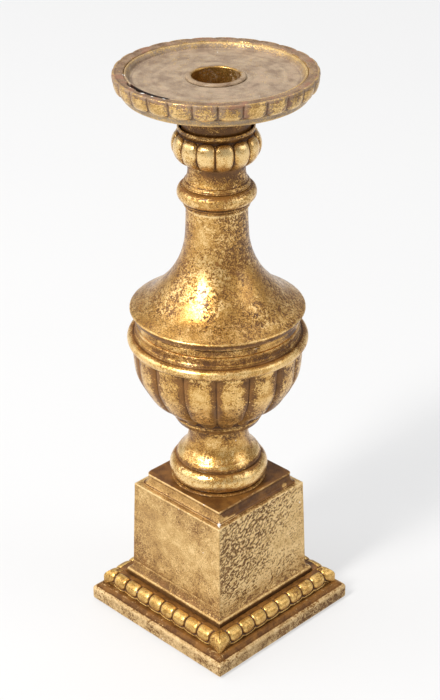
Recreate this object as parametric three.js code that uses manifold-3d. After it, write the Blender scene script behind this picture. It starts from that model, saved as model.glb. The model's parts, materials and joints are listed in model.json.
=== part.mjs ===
// Giltwood altar candlestick: a square pedestal with gadrooned mouldings, a turned and carved
// baluster stem, and a gadrooned drip pan that holds a lift-out candle cup.
// One threaded rod up the middle clamps the stand together. The pan's spigot drops into the
// top of the stand, and the cup drops into the pan.
// Millimetres, +Z up. The origin is on the axis, on the surface that the felt pads stand on.
// The faces of the square base look along X and Y.

import * as THREE from 'three';
import { mergeVertices } from 'three/addons/utils/BufferGeometryUtils.js';
import Module from 'manifold-3d';

// ---- Driving dimensions ----

const CLEARANCE = 0.3;          // gap between separate pieces that sit inside each other
const TURN_SEGMENTS = 32;       // facets round a plain turned piece
const HOLE_SEGMENTS = 16;       // facets round a drilled hole

// Heights of the pieces, from the floor up
const PAD_HEIGHT = 1.5;
const SLAB_HEIGHT = 8.9;
const LEDGE_HEIGHT = 2.5;       // small step on top of the slab, cut in the same board
const CORE_HEIGHT = 9.7;        // block inside the gadroon strips, and just as tall
const DIE_BASE_HEIGHT = 8.2;
const DIE_HEIGHT = 57.3;
const CAP_HEIGHT = 7.9;
const FOOT_RING_HEIGHT = 15.1;
const FOOT_BELL_HEIGHT = 27;
const BOWL_HEIGHT = 51;
const BOWL_RIM_HEIGHT = 7.3;
const LOWER_RING_HEIGHT = 5.6;
const UPPER_RING_HEIGHT = 5.7;
const BELL_HEIGHT = 68.7;
const NECK_RING_HEIGHT = 12.1;
const SCOTIA_HEIGHT = 13.9;
const KNOP_HEIGHT = 21.8;

const SLAB_BOTTOM = PAD_HEIGHT;
const SLAB_TOP = SLAB_BOTTOM + SLAB_HEIGHT;
const LEDGE_TOP = SLAB_TOP + LEDGE_HEIGHT;
const CORE_TOP = LEDGE_TOP + CORE_HEIGHT;
const DIE_BOTTOM = CORE_TOP + DIE_BASE_HEIGHT;
const CAP_BOTTOM = DIE_BOTTOM + DIE_HEIGHT;
const FOOT_RING_BOTTOM = CAP_BOTTOM + CAP_HEIGHT;
const FOOT_BELL_BOTTOM = FOOT_RING_BOTTOM + FOOT_RING_HEIGHT;
const BOWL_BOTTOM = FOOT_BELL_BOTTOM + FOOT_BELL_HEIGHT;
const BOWL_RIM_BOTTOM = BOWL_BOTTOM + BOWL_HEIGHT;
const LOWER_RING_BOTTOM = BOWL_RIM_BOTTOM + BOWL_RIM_HEIGHT;
const UPPER_RING_BOTTOM = LOWER_RING_BOTTOM + LOWER_RING_HEIGHT;
const BELL_BOTTOM = UPPER_RING_BOTTOM + UPPER_RING_HEIGHT;
const NECK_RING_BOTTOM = BELL_BOTTOM + BELL_HEIGHT;
const SCOTIA_BOTTOM = NECK_RING_BOTTOM + NECK_RING_HEIGHT;
const KNOP_BOTTOM = SCOTIA_BOTTOM + SCOTIA_HEIGHT;
const KNOP_TOP = KNOP_BOTTOM + KNOP_HEIGHT;

// Square pedestal, as half sides
const SLAB_HALF = 57;
const LEDGE_HALF = 54.5;
const GADROON_CENTRE_HALF = 46.6;   // middle of the half-round
const GADROON_RADIUS = CORE_HEIGHT / 2;
const GADROON_INNER_HALF = 41.6;
const DIE_FOOT_HALF = 41.8;
const DIE_BOTTOM_HALF = 38.6;
const DIE_TOP_HALF = 37;
const CAP_FOOT_HALF = 34.3;
const CAP_TOP_HALF = 31.8;
const TONGUES_PER_SIDE = 8;
const TONGUE_PITCH = 11.3;

// Turned stem, as radii
const FOOT_RING_RADIUS = 30;
const STEM_NECK_RADIUS = 18.3;
const BOWL_FOOT_RADIUS = 25.8;
const BOWL_RADIUS = 50.8;
const BOWL_RIM_RADIUS = 53.6;
const LOWER_RING_RADIUS = 49;
const UPPER_RING_RADIUS = 48;
const SHOULDER_RADIUS = 51.7;
const NECK_RADIUS = 17.8;
const NECK_RING_RADIUS = 22.8;
const SCOTIA_FOOT_RADIUS = 19.3;
const SCOTIA_RADIUS = 16.5;
const KNOP_RADIUS = 25.5;
const BOWL_LOBES = 16;
const KNOP_LOBES = 14;
const BOWL_TURN = -1.1;         // how far each carved piece is turned on the rod, in degrees
const KNOP_TURN = 17.6;
const PAN_RIM_TURN = 4.5;

// Drip pan and candle cup
const PAN_BOTTOM = 341.7;
const PAN_RIM_BOTTOM = 345.9;
const PAN_FLOOR = 351.6;
const PAN_BEAD_TOP = 354.9;
const PAN_TOP = 355.3;
const PAN_RADIUS = 57;
const PAN_LOBES = 26;
const PAN_SEAM_RADIUS = 50.7;   // joint between the dish and its gadrooned rim
const PAN_FLOOR_RADIUS = 47.7;
const PAN_STEM_RADIUS = 19.4;
const CUP_TOP = 352.7;
const CUP_FLANGE_RADIUS = 17.2;
const FLANGE_SEAT = PAN_FLOOR - 0.4;    // shallow rebate in the pan's floor that the flange drops into
const CUP_RADIUS = 14.9;
const CANDLE_HOLE_RADIUS = 13.5;
const CUP_BOTTOM = 330.5;
const CUP_FLOOR_THICKNESS = 1.5;

// Spigot of the pan, and its socket in the knop and scotia
const SPIGOT_RADIUS = 10;
const SPIGOT_BOTTOM = 293.5;
const SOCKET_RADIUS = SPIGOT_RADIUS + 0.4;
const SOCKET_FLOOR = 292.5;
const KNOP_RECESS_RADIUS = 20.9;
const KNOP_RECESS_FLOOR = KNOP_TOP - 4.7;

// Tie rod (M8), its nuts and washers, and the slab screws
const ROD_RADIUS = 4;
const ROD_BORE = 4.6;
const ROD_BOTTOM = 2.2;
const ROD_TOP = SCOTIA_BOTTOM - 0.4;
const NUT_ACROSS_FLATS = 13;
const NUT_HEIGHT = 6.5;
const WASHER_RADIUS = 10.8;
const WASHER_THICKNESS = 1.6;
const NUT_RECESS_RADIUS = 12;
const BASE_RECESS_TOP = SLAB_BOTTOM + 9;
const TOP_RECESS_FLOOR = NECK_RING_BOTTOM + 2.4;
const SCREW_OFFSET = 27;        // from the axis along X and along Y
const SCREW_HEAD_RADIUS = 3.6;
const SCREW_HEAD_HEIGHT = 2.6;
const SCREW_SHANK_RADIUS = 1.8;
const SCREW_BOTTOM = SLAB_BOTTOM + 0.5;
const SCREW_LENGTH = 25;
const PAD_RADIUS = 6;
const PAD_OFFSET = 46;

// ---- Finishes ----

const finishes = {
  gilt: { color: 0xb98a3c, roughness: 0.42, metalness: 0.75 },
  giltWorn: { color: 0x9a7340, roughness: 0.55, metalness: 0.55 },
  giltBright: { color: 0xcfa24a, roughness: 0.35, metalness: 0.8 },
  panTop: { color: 0xa08868, roughness: 0.65, metalness: 0.3 },
  cup: { color: 0xa9762c, roughness: 0.35, metalness: 0.8 },
  steel: { color: 0x8c8c88, roughness: 0.4, metalness: 0.9 },
  felt: { color: 0x2a2724, roughness: 0.95, metalness: 0 },
};

const candlestick = new THREE.Group();

function addPiece(name, geometry, finish, position = [0, 0, 0], turnDegrees = 0) {
  const piece = new THREE.Mesh(geometry, new THREE.MeshStandardMaterial(finishes[finish]));
  piece.name = name;
  piece.position.set(...position);
  piece.rotation.z = THREE.MathUtils.degToRad(turnDegrees);
  candlestick.add(piece);
}

// ---- Geometry helpers ----

// Points on an elliptical arc in the (radius, height) plane. Angles in degrees: 0 is outwards,
// 90 is up.
function arc(centre, radii, fromDegrees, toDegrees, steps) {
  const points = [];
  for (let i = 0; i <= steps; i += 1) {
    const angle = THREE.MathUtils.degToRad(fromDegrees + ((toDegrees - fromDegrees) * i) / steps);
    points.push([centre[0] + radii[0] * Math.cos(angle), centre[1] + radii[1] * Math.sin(angle)]);
  }
  return points;
}

// Points on a smooth curve through a few knots in the (radius, height) plane.
function smooth(knots, steps) {
  const curve = new THREE.SplineCurve(knots.map(([radius, height]) => new THREE.Vector2(radius, height)));
  return curve.getPoints(steps).map((point) => [point.x, point.y]);
}

// A turned solid. The outline runs anticlockwise with the radius to the right and the height up,
// and closes on itself unless it starts on the axis.
function turned(outline, segments = TURN_SEGMENTS) {
  const points = outline.map(([radius, height]) => new THREE.Vector2(radius, height));
  if (outline[0][0] > 0) {
    points.push(points[0].clone());
  }
  const geometry = new THREE.LatheGeometry(points, segments);
  geometry.rotateX(Math.PI / 2);
  return geometry;
}

// A turned solid round the tie rod's bore, given its outer outline from the bottom to the top.
function turnedRoundRod(outer, segments = TURN_SEGMENTS) {
  const bottom = outer[0][1];
  const top = outer[outer.length - 1][1];
  return turned([[ROD_BORE, bottom], ...outer, [ROD_BORE, top]], segments);
}

// A turned solid carved into lobes. Each outline point is [radius, height, depth], where depth is
// how far the valley between two lobes is cut in from that radius.
function lobed(outline, lobes, stepsPerLobe) {
  const geometry = turned(outline, lobes * stepsPerLobe);
  const depths = outline.map((point) => point[2] ?? 0);
  depths.push(depths[0]);
  const position = geometry.attributes.position;
  for (let i = 0; i < position.count; i += 1) {
    const column = Math.floor(i / depths.length) % stepsPerLobe;
    const across = Math.abs((2 * column) / stepsPerLobe - 1);
    const cut = depths[i % depths.length] * across ** 3;
    const radius = Math.hypot(position.getX(i), position.getY(i));
    const factor = radius > 0 ? (radius - cut) / radius : 1;
    position.setXY(i, position.getX(i) * factor, position.getY(i) * factor);
  }
  return geometry;
}

// A square block with a moulded edge: a four-sided turning with its corners on the diagonals.
// The outline is [half side, height] from the bottom to the top.
function squareTurned(outline) {
  const corners = [[0, outline[0][1]], ...outline, [0, outline[outline.length - 1][1]]];
  const points = corners.map(([half, height]) => new THREE.Vector2(half * Math.SQRT2, height));
  const geometry = new THREE.LatheGeometry(points, 4, Math.PI / 4);
  geometry.rotateX(Math.PI / 2);
  return geometry;
}

// ---- Boolean helpers ----

const wasm = await Module();
wasm.setup();

function toSolid(geometry) {
  const bare = new THREE.BufferGeometry();
  bare.setAttribute('position', geometry.attributes.position);
  if (geometry.index) {
    bare.setIndex(geometry.index);
  }
  const merged = mergeVertices(bare, 1e-4);
  const corner = merged.index.array;
  const triangles = [];
  for (let i = 0; i < corner.length; i += 3) {
    const [a, b, c] = corner.slice(i, i + 3);
    if (a !== b && b !== c && c !== a) {
      triangles.push(a, b, c);
    }
  }
  return new wasm.Manifold(new wasm.Mesh({
    numProp: 3,
    vertProperties: merged.attributes.position.array,
    triVerts: new Uint32Array(triangles),
  }));
}

function toGeometry(solid) {
  const mesh = solid.getMesh();
  const geometry = new THREE.BufferGeometry();
  geometry.setAttribute('position', new THREE.BufferAttribute(mesh.vertProperties, 3));
  geometry.setIndex(new THREE.BufferAttribute(mesh.triVerts, 1));
  return geometry;
}

// Cuts every tool away from a body.
function cut(body, tools) {
  let solid = toSolid(body);
  for (const tool of tools) {
    solid = solid.subtract(toSolid(tool));
  }
  return toGeometry(solid);
}

// A drill of the given radius between two heights, at a place on the plan.
function drill(radius, bottom, top, x = 0, y = 0) {
  const geometry = turned([[0, bottom], [radius, bottom], [radius, top], [0, top]], HOLE_SEGMENTS);
  geometry.translate(x, y, 0);
  return geometry;
}

// The four corners of a square of the given half side.
function fourCorners(offset) {
  return [[-offset, -offset], [offset, -offset], [offset, offset], [-offset, offset]];
}

// Clearance holes for the slab screws, cut through a block between two heights.
function screwHoles(bottom, top) {
  const radius = SCREW_SHANK_RADIUS + CLEARANCE;
  return fourCorners(SCREW_OFFSET).map(([x, y]) => drill(radius, bottom, top, x, y));
}

// ---- Pedestal ----

function feltPad() {
  return turned([[0, 0], [PAD_RADIUS, 0], [PAD_RADIUS, PAD_HEIGHT], [0, PAD_HEIGHT]], HOLE_SEGMENTS);
}

// Moulded board with a stepped top, a recess below for the nut, and countersunk screw holes.
function plinthSlab() {
  const rounding = 1.2;
  const body = squareTurned([
    [SLAB_HALF - rounding, SLAB_BOTTOM],
    [SLAB_HALF, SLAB_BOTTOM + rounding],
    [SLAB_HALF, SLAB_TOP - rounding],
    [SLAB_HALF - rounding, SLAB_TOP],
    [LEDGE_HALF, SLAB_TOP],
    [LEDGE_HALF, LEDGE_TOP],
  ]);
  const tools = [
    drill(NUT_RECESS_RADIUS, SLAB_BOTTOM - 1, BASE_RECESS_TOP),
    drill(ROD_BORE, SLAB_BOTTOM, LEDGE_TOP + 1),
    ...screwHoles(SLAB_BOTTOM, LEDGE_TOP + 1),
  ];
  for (const [x, y] of fourCorners(SCREW_OFFSET)) {
    const headRadius = SCREW_HEAD_RADIUS + CLEARANCE;
    const shankRadius = SCREW_SHANK_RADIUS + CLEARANCE;
    const headTop = SCREW_BOTTOM + SCREW_HEAD_HEIGHT + CLEARANCE;
    const countersink = turned([
      [0, SLAB_BOTTOM - 1],
      [headRadius, SLAB_BOTTOM - 1],
      [headRadius, SCREW_BOTTOM + CLEARANCE],
      [shankRadius, headTop],
      [0, headTop],
    ], HOLE_SEGMENTS);
    countersink.translate(x, y, 0);
    tools.push(countersink);
  }
  return cut(body, tools);
}

// Strip carved into raised tongues over a plain skirt, mitred at both ends. It is built for the -Y
// side. Each column runs up the skirt, over the half-round and down to its inner top edge, and the
// columns follow one another along the length.
function gadroonStrip() {
  const stepsPerTongue = 4;
  const arcSteps = 5;
  const arcEnd = 150;
  const valleyDepth = 1.2;
  const outerHalf = GADROON_CENTRE_HALF + GADROON_RADIUS;
  const halfLength = outerHalf + 1;
  const tongueRun = (TONGUES_PER_SIDE * TONGUE_PITCH) / 2;
  const columns = [[-halfLength, 0]];
  for (let i = 0; i <= TONGUES_PER_SIDE * stepsPerTongue; i += 1) {
    const across = Math.abs(((2 * i) / stepsPerTongue) % 2 - 1);
    columns.push([-tongueRun + (i * TONGUE_PITCH) / stepsPerTongue, valleyDepth * across ** 3]);
  }
  columns.push([halfLength, 0]);

  const middle = LEDGE_TOP + GADROON_RADIUS;
  const ringSize = arcSteps + 4;
  const vertices = [];
  for (const [x, depth] of columns) {
    vertices.push(x, -GADROON_INNER_HALF, LEDGE_TOP);
    vertices.push(x, -outerHalf, LEDGE_TOP);
    for (let i = 0; i <= arcSteps; i += 1) {
      const angle = THREE.MathUtils.degToRad((arcEnd * i) / arcSteps);
      const reach = GADROON_RADIUS - depth;
      vertices.push(x, -GADROON_CENTRE_HALF - reach * Math.cos(angle), middle + reach * Math.sin(angle));
    }
    vertices.push(x, -GADROON_INNER_HALF, middle);
  }
  const triangles = [];
  for (let column = 0; column < columns.length - 1; column += 1) {
    for (let i = 0; i < ringSize; i += 1) {
      const a = column * ringSize + i;
      const b = column * ringSize + ((i + 1) % ringSize);
      triangles.push(a, a + ringSize, b, b, a + ringSize, b + ringSize);
    }
  }
  const last = (columns.length - 1) * ringSize;
  for (let i = 1; i < ringSize - 1; i += 1) {
    triangles.push(0, i, i + 1);
    triangles.push(last, last + i + 1, last + i);
  }
  const straight = new THREE.BufferGeometry();
  straight.setAttribute('position', new THREE.Float32BufferAttribute(vertices, 3));
  straight.setIndex(triangles);

  const reach = halfLength + 4;
  const gap = (CLEARANCE / 2) * Math.SQRT2;
  const plan = new THREE.Shape();
  plan.moveTo(0, -gap);
  plan.lineTo(-reach + gap, -reach);
  plan.lineTo(reach - gap, -reach);
  plan.closePath();
  const mitre = new THREE.ExtrudeGeometry(plan, { depth: CORE_HEIGHT + 4, bevelEnabled: false });
  mitre.translate(0, 0, LEDGE_TOP - 2);
  return toGeometry(toSolid(straight).intersect(toSolid(mitre)));
}

// Plain block that the gadroon strips are glued round.
function plinthCore() {
  const half = GADROON_INNER_HALF - CLEARANCE;
  return cut(squareTurned([[half, LEDGE_TOP], [half, CORE_TOP]]), [
    drill(ROD_BORE, LEDGE_TOP - 1, CORE_TOP + 1),
    ...screwHoles(LEDGE_TOP - 1, CORE_TOP + 1),
  ]);
}

// Square board with a fillet and a hollow moulding up to the die.
function dieBase() {
  const filletTop = CORE_TOP + 2;
  const hollowWidth = DIE_FOOT_HALF - 0.8 - DIE_BOTTOM_HALF;
  const hollow = arc([DIE_FOOT_HALF - 0.8, DIE_BOTTOM], [hollowWidth, DIE_BOTTOM - filletTop], 270, 180, 4);
  const body = squareTurned([[DIE_FOOT_HALF, CORE_TOP], [DIE_FOOT_HALF, filletTop], ...hollow]);
  return cut(body, [
    drill(ROD_BORE, CORE_TOP - 1, DIE_BOTTOM + 1),
    ...screwHoles(CORE_TOP - 1, SCREW_BOTTOM + SCREW_LENGTH + 1),
  ]);
}

function pedestalDie() {
  const body = squareTurned([[DIE_BOTTOM_HALF, DIE_BOTTOM], [DIE_TOP_HALF, CAP_BOTTOM]]);
  return cut(body, [drill(ROD_BORE, DIE_BOTTOM - 1, CAP_BOTTOM + 1)]);
}

// Square cap with a hollow side under a sharp top edge.
function dieCap() {
  const hollowTop = FOOT_RING_BOTTOM - 1.4;
  const hollow = arc(
    [CAP_FOOT_HALF, hollowTop],
    [CAP_FOOT_HALF - CAP_TOP_HALF, hollowTop - CAP_BOTTOM - 0.8],
    270,
    180,
    4,
  );
  const body = squareTurned([[CAP_FOOT_HALF, CAP_BOTTOM], ...hollow, [CAP_TOP_HALF, FOOT_RING_BOTTOM]]);
  return cut(body, [drill(ROD_BORE, CAP_BOTTOM - 1, FOOT_RING_BOTTOM + 1)]);
}

// ---- Turned stem ----

function footRing() {
  const filletTop = FOOT_RING_BOTTOM + 0.9;
  const centre = [FOOT_RING_RADIUS - 6.5, filletTop + 7];
  return turnedRoundRod([
    [FOOT_RING_RADIUS - 1, FOOT_RING_BOTTOM],
    [FOOT_RING_RADIUS - 1, filletTop],
    ...arc(centre, [6.5, 7], -72, 72, 6),
    [centre[0] + 1.5, FOOT_BELL_BOTTOM],
  ]);
}

// Bell-shaped foot that draws in to the neck below the bowl.
function footBell() {
  return turnedRoundRod([
    [25.4, FOOT_BELL_BOTTOM],
    [25.8, FOOT_BELL_BOTTOM + 1],
    ...smooth([[25.3, FOOT_BELL_BOTTOM + 2.1], [24.3, FOOT_BELL_BOTTOM + 3.7],
      [22.5, FOOT_BELL_BOTTOM + 5.4], [20.2, FOOT_BELL_BOTTOM + 8.5],
      [18.9, FOOT_BELL_BOTTOM + 11.7], [STEM_NECK_RADIUS, FOOT_BELL_BOTTOM + 15],
      [STEM_NECK_RADIUS + 0.3, BOWL_BOTTOM]], 8),
  ]);
}

// Bowl carved into lobes above a plain foot band.
function bowl() {
  const bandTop = BOWL_BOTTOM + 4.2;
  const side = smooth([[BOWL_FOOT_RADIUS + 2.4, bandTop + 0.6], [31.1, bandTop + 5.3],
    [37, bandTop + 9.5], [42, bandTop + 14.7], [47.6, bandTop + 25], [49.6, bandTop + 32.3],
    [BOWL_RADIUS, BOWL_RIM_BOTTOM]], 9);
  const carved = side.map(([radius, height], i) => [radius, height, i === 0 ? 0.4 : 1.6]);
  return lobed([
    [ROD_BORE, BOWL_BOTTOM],
    [BOWL_FOOT_RADIUS, BOWL_BOTTOM],
    [BOWL_FOOT_RADIUS + 1.9, bandTop],
    ...carved,
    [ROD_BORE, BOWL_RIM_BOTTOM],
  ], BOWL_LOBES, 4);
}

function bowlRim() {
  const roundRadius = 3.25;
  const roundCentre = [BOWL_RIM_RADIUS - roundRadius, BOWL_RIM_BOTTOM + roundRadius];
  return turnedRoundRod([
    ...arc(roundCentre, [roundRadius, roundRadius], -90, 90, 7),
    [LOWER_RING_RADIUS, BOWL_RIM_BOTTOM + 2 * roundRadius],
    [LOWER_RING_RADIUS, LOWER_RING_BOTTOM],
  ]);
}

function lowerRing() {
  return turnedRoundRod([
    [LOWER_RING_RADIUS, LOWER_RING_BOTTOM],
    [LOWER_RING_RADIUS, UPPER_RING_BOTTOM - 0.7],
    [LOWER_RING_RADIUS - 0.7, UPPER_RING_BOTTOM],
  ]);
}

function upperRing() {
  return turnedRoundRod([
    [UPPER_RING_RADIUS - 0.7, UPPER_RING_BOTTOM],
    [UPPER_RING_RADIUS, UPPER_RING_BOTTOM + 0.7],
    [UPPER_RING_RADIUS, BELL_BOTTOM],
  ]);
}

// Shoulder with a lip below it, sweeping up in one hollow curve to the neck.
function shoulderBell() {
  const lipTop = BELL_BOTTOM + 2.6;
  const shoulderTop = BELL_BOTTOM + 4.4;
  return turnedRoundRod([
    [UPPER_RING_RADIUS + 1.7, BELL_BOTTOM],
    [UPPER_RING_RADIUS + 2.6, lipTop],
    [SHOULDER_RADIUS - 0.3, lipTop + 0.7],
    ...smooth([[SHOULDER_RADIUS, shoulderTop], [47.7, shoulderTop + 2.4], [40.9, shoulderTop + 6.6],
      [34.9, shoulderTop + 12.2], [28.4, shoulderTop + 19.5], [23.4, shoulderTop + 27.8],
      [20.2, shoulderTop + 36.1], [18.6, shoulderTop + 44.3], [18, shoulderTop + 54.7],
      [NECK_RADIUS, NECK_RING_BOTTOM]], 12),
  ]);
}

// Ring below the scotia, with the upper nut's recess in its top face.
function neckRing() {
  const filletTop = NECK_RING_BOTTOM + 3.4;
  const centre = [NECK_RING_RADIUS - 3.6, filletTop + 4.4];
  return turned([
    [ROD_BORE, NECK_RING_BOTTOM],
    [NECK_RADIUS + 1.2, NECK_RING_BOTTOM],
    [NECK_RADIUS + 2, filletTop],
    ...arc(centre, [3.6, 4.5], -76, 64, 6),
    [SCOTIA_FOOT_RADIUS + 0.6, SCOTIA_BOTTOM],
    [NUT_RECESS_RADIUS, SCOTIA_BOTTOM],
    [NUT_RECESS_RADIUS, TOP_RECESS_FLOOR],
    [ROD_BORE, TOP_RECESS_FLOOR],
  ]);
}

// Hollow collar under the knop. Its bore is the lower half of the pan's socket.
function scotiaCollar() {
  const filletTop = SCOTIA_BOTTOM + 2.9;
  return turned([
    [0, SCOTIA_BOTTOM],
    [SCOTIA_FOOT_RADIUS, SCOTIA_BOTTOM],
    [SCOTIA_FOOT_RADIUS - 0.6, filletTop],
    ...smooth([[SCOTIA_FOOT_RADIUS - 1.4, filletTop + 0.3], [16.9, filletTop + 3],
      [SCOTIA_RADIUS, filletTop + 6.6], [16.9, KNOP_BOTTOM]], 6),
    [SOCKET_RADIUS, KNOP_BOTTOM],
    [SOCKET_RADIUS, SOCKET_FLOOR],
    [0, SOCKET_FLOOR],
  ]);
}

// Carved knop under a plain band. Its top is recessed round the pan's stem.
function knop() {
  const centre = [14, KNOP_BOTTOM + 10.6];
  const arcSteps = 7;
  const side = arc(centre, [KNOP_RADIUS - centre[0], 11.3], -69, 42, arcSteps);
  const carved = side.map(([radius, height], i) => [radius, height, i % arcSteps === 0 ? 0.8 : 1.8]);
  return lobed([
    [SOCKET_RADIUS, KNOP_BOTTOM],
    [18.1, KNOP_BOTTOM],
    ...carved,
    [KNOP_RECESS_RADIUS + 1.4, KNOP_TOP - 2.7],
    [KNOP_RECESS_RADIUS + 0.7, KNOP_TOP],
    [KNOP_RECESS_RADIUS, KNOP_TOP],
    [KNOP_RECESS_RADIUS - 0.6, KNOP_RECESS_FLOOR],
    [SOCKET_RADIUS, KNOP_RECESS_FLOOR],
  ], KNOP_LOBES, 4);
}

// ---- Drip pan and candle cup ----

// Stem below the pan: a spigot for the socket, a flared neck, and a pocket for the cup.
function panStem() {
  const spigotChamfer = 1.2;
  const pocketRadius = CUP_RADIUS + CLEARANCE;
  const pocketFloor = CUP_BOTTOM - CLEARANCE;
  return turned([
    [0, SPIGOT_BOTTOM],
    [SPIGOT_RADIUS - spigotChamfer, SPIGOT_BOTTOM],
    [SPIGOT_RADIUS, SPIGOT_BOTTOM + spigotChamfer],
    [SPIGOT_RADIUS, KNOP_RECESS_FLOOR],
    [PAN_STEM_RADIUS, KNOP_RECESS_FLOOR],
    ...smooth([[PAN_STEM_RADIUS + 0.3, KNOP_TOP], [20, KNOP_TOP + 6], [21, KNOP_TOP + 11.5],
      [24, PAN_BOTTOM]], 5),
    [pocketRadius, PAN_BOTTOM],
    [pocketRadius, pocketFloor],
    [0, pocketFloor],
  ]);
}

// Turned dish with a smooth foot band below, a bead round its sunk floor and a rebate for the cup's flange.
function panDish() {
  const dishEdge = PAN_SEAM_RADIUS - CLEARANCE;
  const bore = CUP_RADIUS + CLEARANCE;
  const rebate = CUP_FLANGE_RADIUS + CLEARANCE;
  return turned([
    [bore, PAN_BOTTOM],
    [PAN_SEAM_RADIUS + 0.4, PAN_BOTTOM],
    [PAN_SEAM_RADIUS + 1, PAN_BOTTOM + 0.6],
    [PAN_SEAM_RADIUS + 2.6, PAN_RIM_BOTTOM],
    [dishEdge, PAN_RIM_BOTTOM],
    [dishEdge, PAN_BEAD_TOP - 0.5],
    [dishEdge - 0.5, PAN_BEAD_TOP],
    [dishEdge - 1.1, PAN_BEAD_TOP],
    [PAN_FLOOR_RADIUS + 0.9, PAN_BEAD_TOP - 1],
    [PAN_FLOOR_RADIUS, PAN_FLOOR],
    [rebate, PAN_FLOOR],
    [rebate, FLANGE_SEAT],
    [bore, FLANGE_SEAT],
  ]);
}

// Gadrooned ring round the dish.
function panRim() {
  const lobeDepth = 1.3;
  return lobed([
    [PAN_SEAM_RADIUS, PAN_RIM_BOTTOM],
    [PAN_SEAM_RADIUS + 2.8, PAN_RIM_BOTTOM, 0.3],
    [PAN_RADIUS - 1.4, PAN_RIM_BOTTOM + 2, lobeDepth],
    [PAN_RADIUS, PAN_RIM_BOTTOM + 5.4, lobeDepth],
    [PAN_RADIUS, PAN_TOP - 1.6, lobeDepth],
    [PAN_RADIUS - 1, PAN_TOP, lobeDepth * 0.8],
    [PAN_SEAM_RADIUS, PAN_TOP],
  ], PAN_LOBES, 4);
}

// Flanged metal cup that the candle stands in.
function candleCup() {
  return turned([
    [0, CUP_BOTTOM],
    [CUP_RADIUS, CUP_BOTTOM],
    [CUP_RADIUS, FLANGE_SEAT],
    [CUP_FLANGE_RADIUS, FLANGE_SEAT],
    [CUP_FLANGE_RADIUS, CUP_TOP - 0.6],
    [CUP_FLANGE_RADIUS - 0.6, CUP_TOP],
    [CANDLE_HOLE_RADIUS + 0.5, CUP_TOP],
    [CANDLE_HOLE_RADIUS, CUP_TOP - 0.5],
    [CANDLE_HOLE_RADIUS, CUP_BOTTOM + CUP_FLOOR_THICKNESS],
    [0, CUP_BOTTOM + CUP_FLOOR_THICKNESS],
  ]);
}

// ---- Fasteners ----

function tieRod() {
  const chamfer = 0.8;
  return turned([
    [0, ROD_BOTTOM],
    [ROD_RADIUS - chamfer, ROD_BOTTOM],
    [ROD_RADIUS, ROD_BOTTOM + chamfer],
    [ROD_RADIUS, ROD_TOP - chamfer],
    [ROD_RADIUS - chamfer, ROD_TOP],
    [0, ROD_TOP],
  ], HOLE_SEGMENTS);
}

function washer() {
  const bore = ROD_RADIUS + CLEARANCE;
  return turned([
    [bore, 0],
    [WASHER_RADIUS, 0],
    [WASHER_RADIUS, WASHER_THICKNESS],
    [bore, WASHER_THICKNESS],
  ], HOLE_SEGMENTS);
}

function hexNut() {
  const cornerRadius = NUT_ACROSS_FLATS / 2 / Math.cos(Math.PI / 6);
  const plan = new THREE.Shape();
  for (let i = 0; i < 6; i += 1) {
    const angle = (i * Math.PI) / 3;
    const corner = [cornerRadius * Math.cos(angle), cornerRadius * Math.sin(angle)];
    if (i === 0) {
      plan.moveTo(...corner);
    } else {
      plan.lineTo(...corner);
    }
  }
  plan.closePath();
  const bore = new THREE.Path();
  bore.absarc(0, 0, ROD_RADIUS + CLEARANCE, 0, 2 * Math.PI, true);
  plan.holes.push(bore);
  return new THREE.ExtrudeGeometry(plan, {
    depth: NUT_HEIGHT,
    bevelEnabled: false,
    curveSegments: HOLE_SEGMENTS,
  });
}

function slabScrew() {
  const pointHeight = 4;
  return turned([
    [0, 0],
    [SCREW_HEAD_RADIUS, 0],
    [SCREW_SHANK_RADIUS, SCREW_HEAD_HEIGHT],
    [SCREW_SHANK_RADIUS, SCREW_LENGTH - pointHeight],
    [0, SCREW_LENGTH],
  ], 12);
}

// ---- Assembly ----

fourCorners(PAD_OFFSET).forEach(([x, y], i) => addPiece(`foot_pad_${i + 1}`, feltPad(), 'felt', [x, y, 0]));
addPiece('plinth_slab', plinthSlab(), 'giltWorn');
addPiece('plinth_core', plinthCore(), 'giltWorn');
['front', 'right', 'back', 'left'].forEach((side, i) => {
  addPiece(`gadroon_strip_${side}`, gadroonStrip(), 'gilt', [0, 0, 0], i * 90);
});
addPiece('die_base', dieBase(), 'giltWorn');
addPiece('pedestal_die', pedestalDie(), 'gilt');
addPiece('die_cap', dieCap(), 'giltWorn');
addPiece('foot_ring', footRing(), 'giltBright');
addPiece('foot_bell', footBell(), 'giltBright');
addPiece('gadrooned_bowl', bowl(), 'gilt', [0, 0, 0], BOWL_TURN);
addPiece('bowl_rim', bowlRim(), 'gilt');
addPiece('lower_ring', lowerRing(), 'giltWorn');
addPiece('upper_ring', upperRing(), 'giltWorn');
addPiece('shoulder_bell', shoulderBell(), 'giltBright');
addPiece('neck_ring', neckRing(), 'gilt');
addPiece('scotia_collar', scotiaCollar(), 'giltWorn');
addPiece('gadrooned_knop', knop(), 'giltBright', [0, 0, 0], KNOP_TURN);
addPiece('pan_stem', panStem(), 'giltWorn');
addPiece('pan_dish', panDish(), 'panTop');
addPiece('pan_rim', panRim(), 'gilt', [0, 0, 0], PAN_RIM_TURN);
addPiece('candle_cup', candleCup(), 'cup');
addPiece('tie_rod', tieRod(), 'steel');
addPiece('base_washer', washer(), 'steel', [0, 0, BASE_RECESS_TOP - WASHER_THICKNESS]);
addPiece('base_nut', hexNut(), 'steel', [0, 0, BASE_RECESS_TOP - WASHER_THICKNESS - NUT_HEIGHT]);
addPiece('top_washer', washer(), 'steel', [0, 0, TOP_RECESS_FLOOR]);
addPiece('top_nut', hexNut(), 'steel', [0, 0, TOP_RECESS_FLOOR + WASHER_THICKNESS]);
fourCorners(SCREW_OFFSET).forEach(([x, y], i) => {
  addPiece(`slab_screw_${i + 1}`, slabScrew(), 'steel', [x, y, SCREW_BOTTOM]);
});

export default candlestick;
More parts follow.
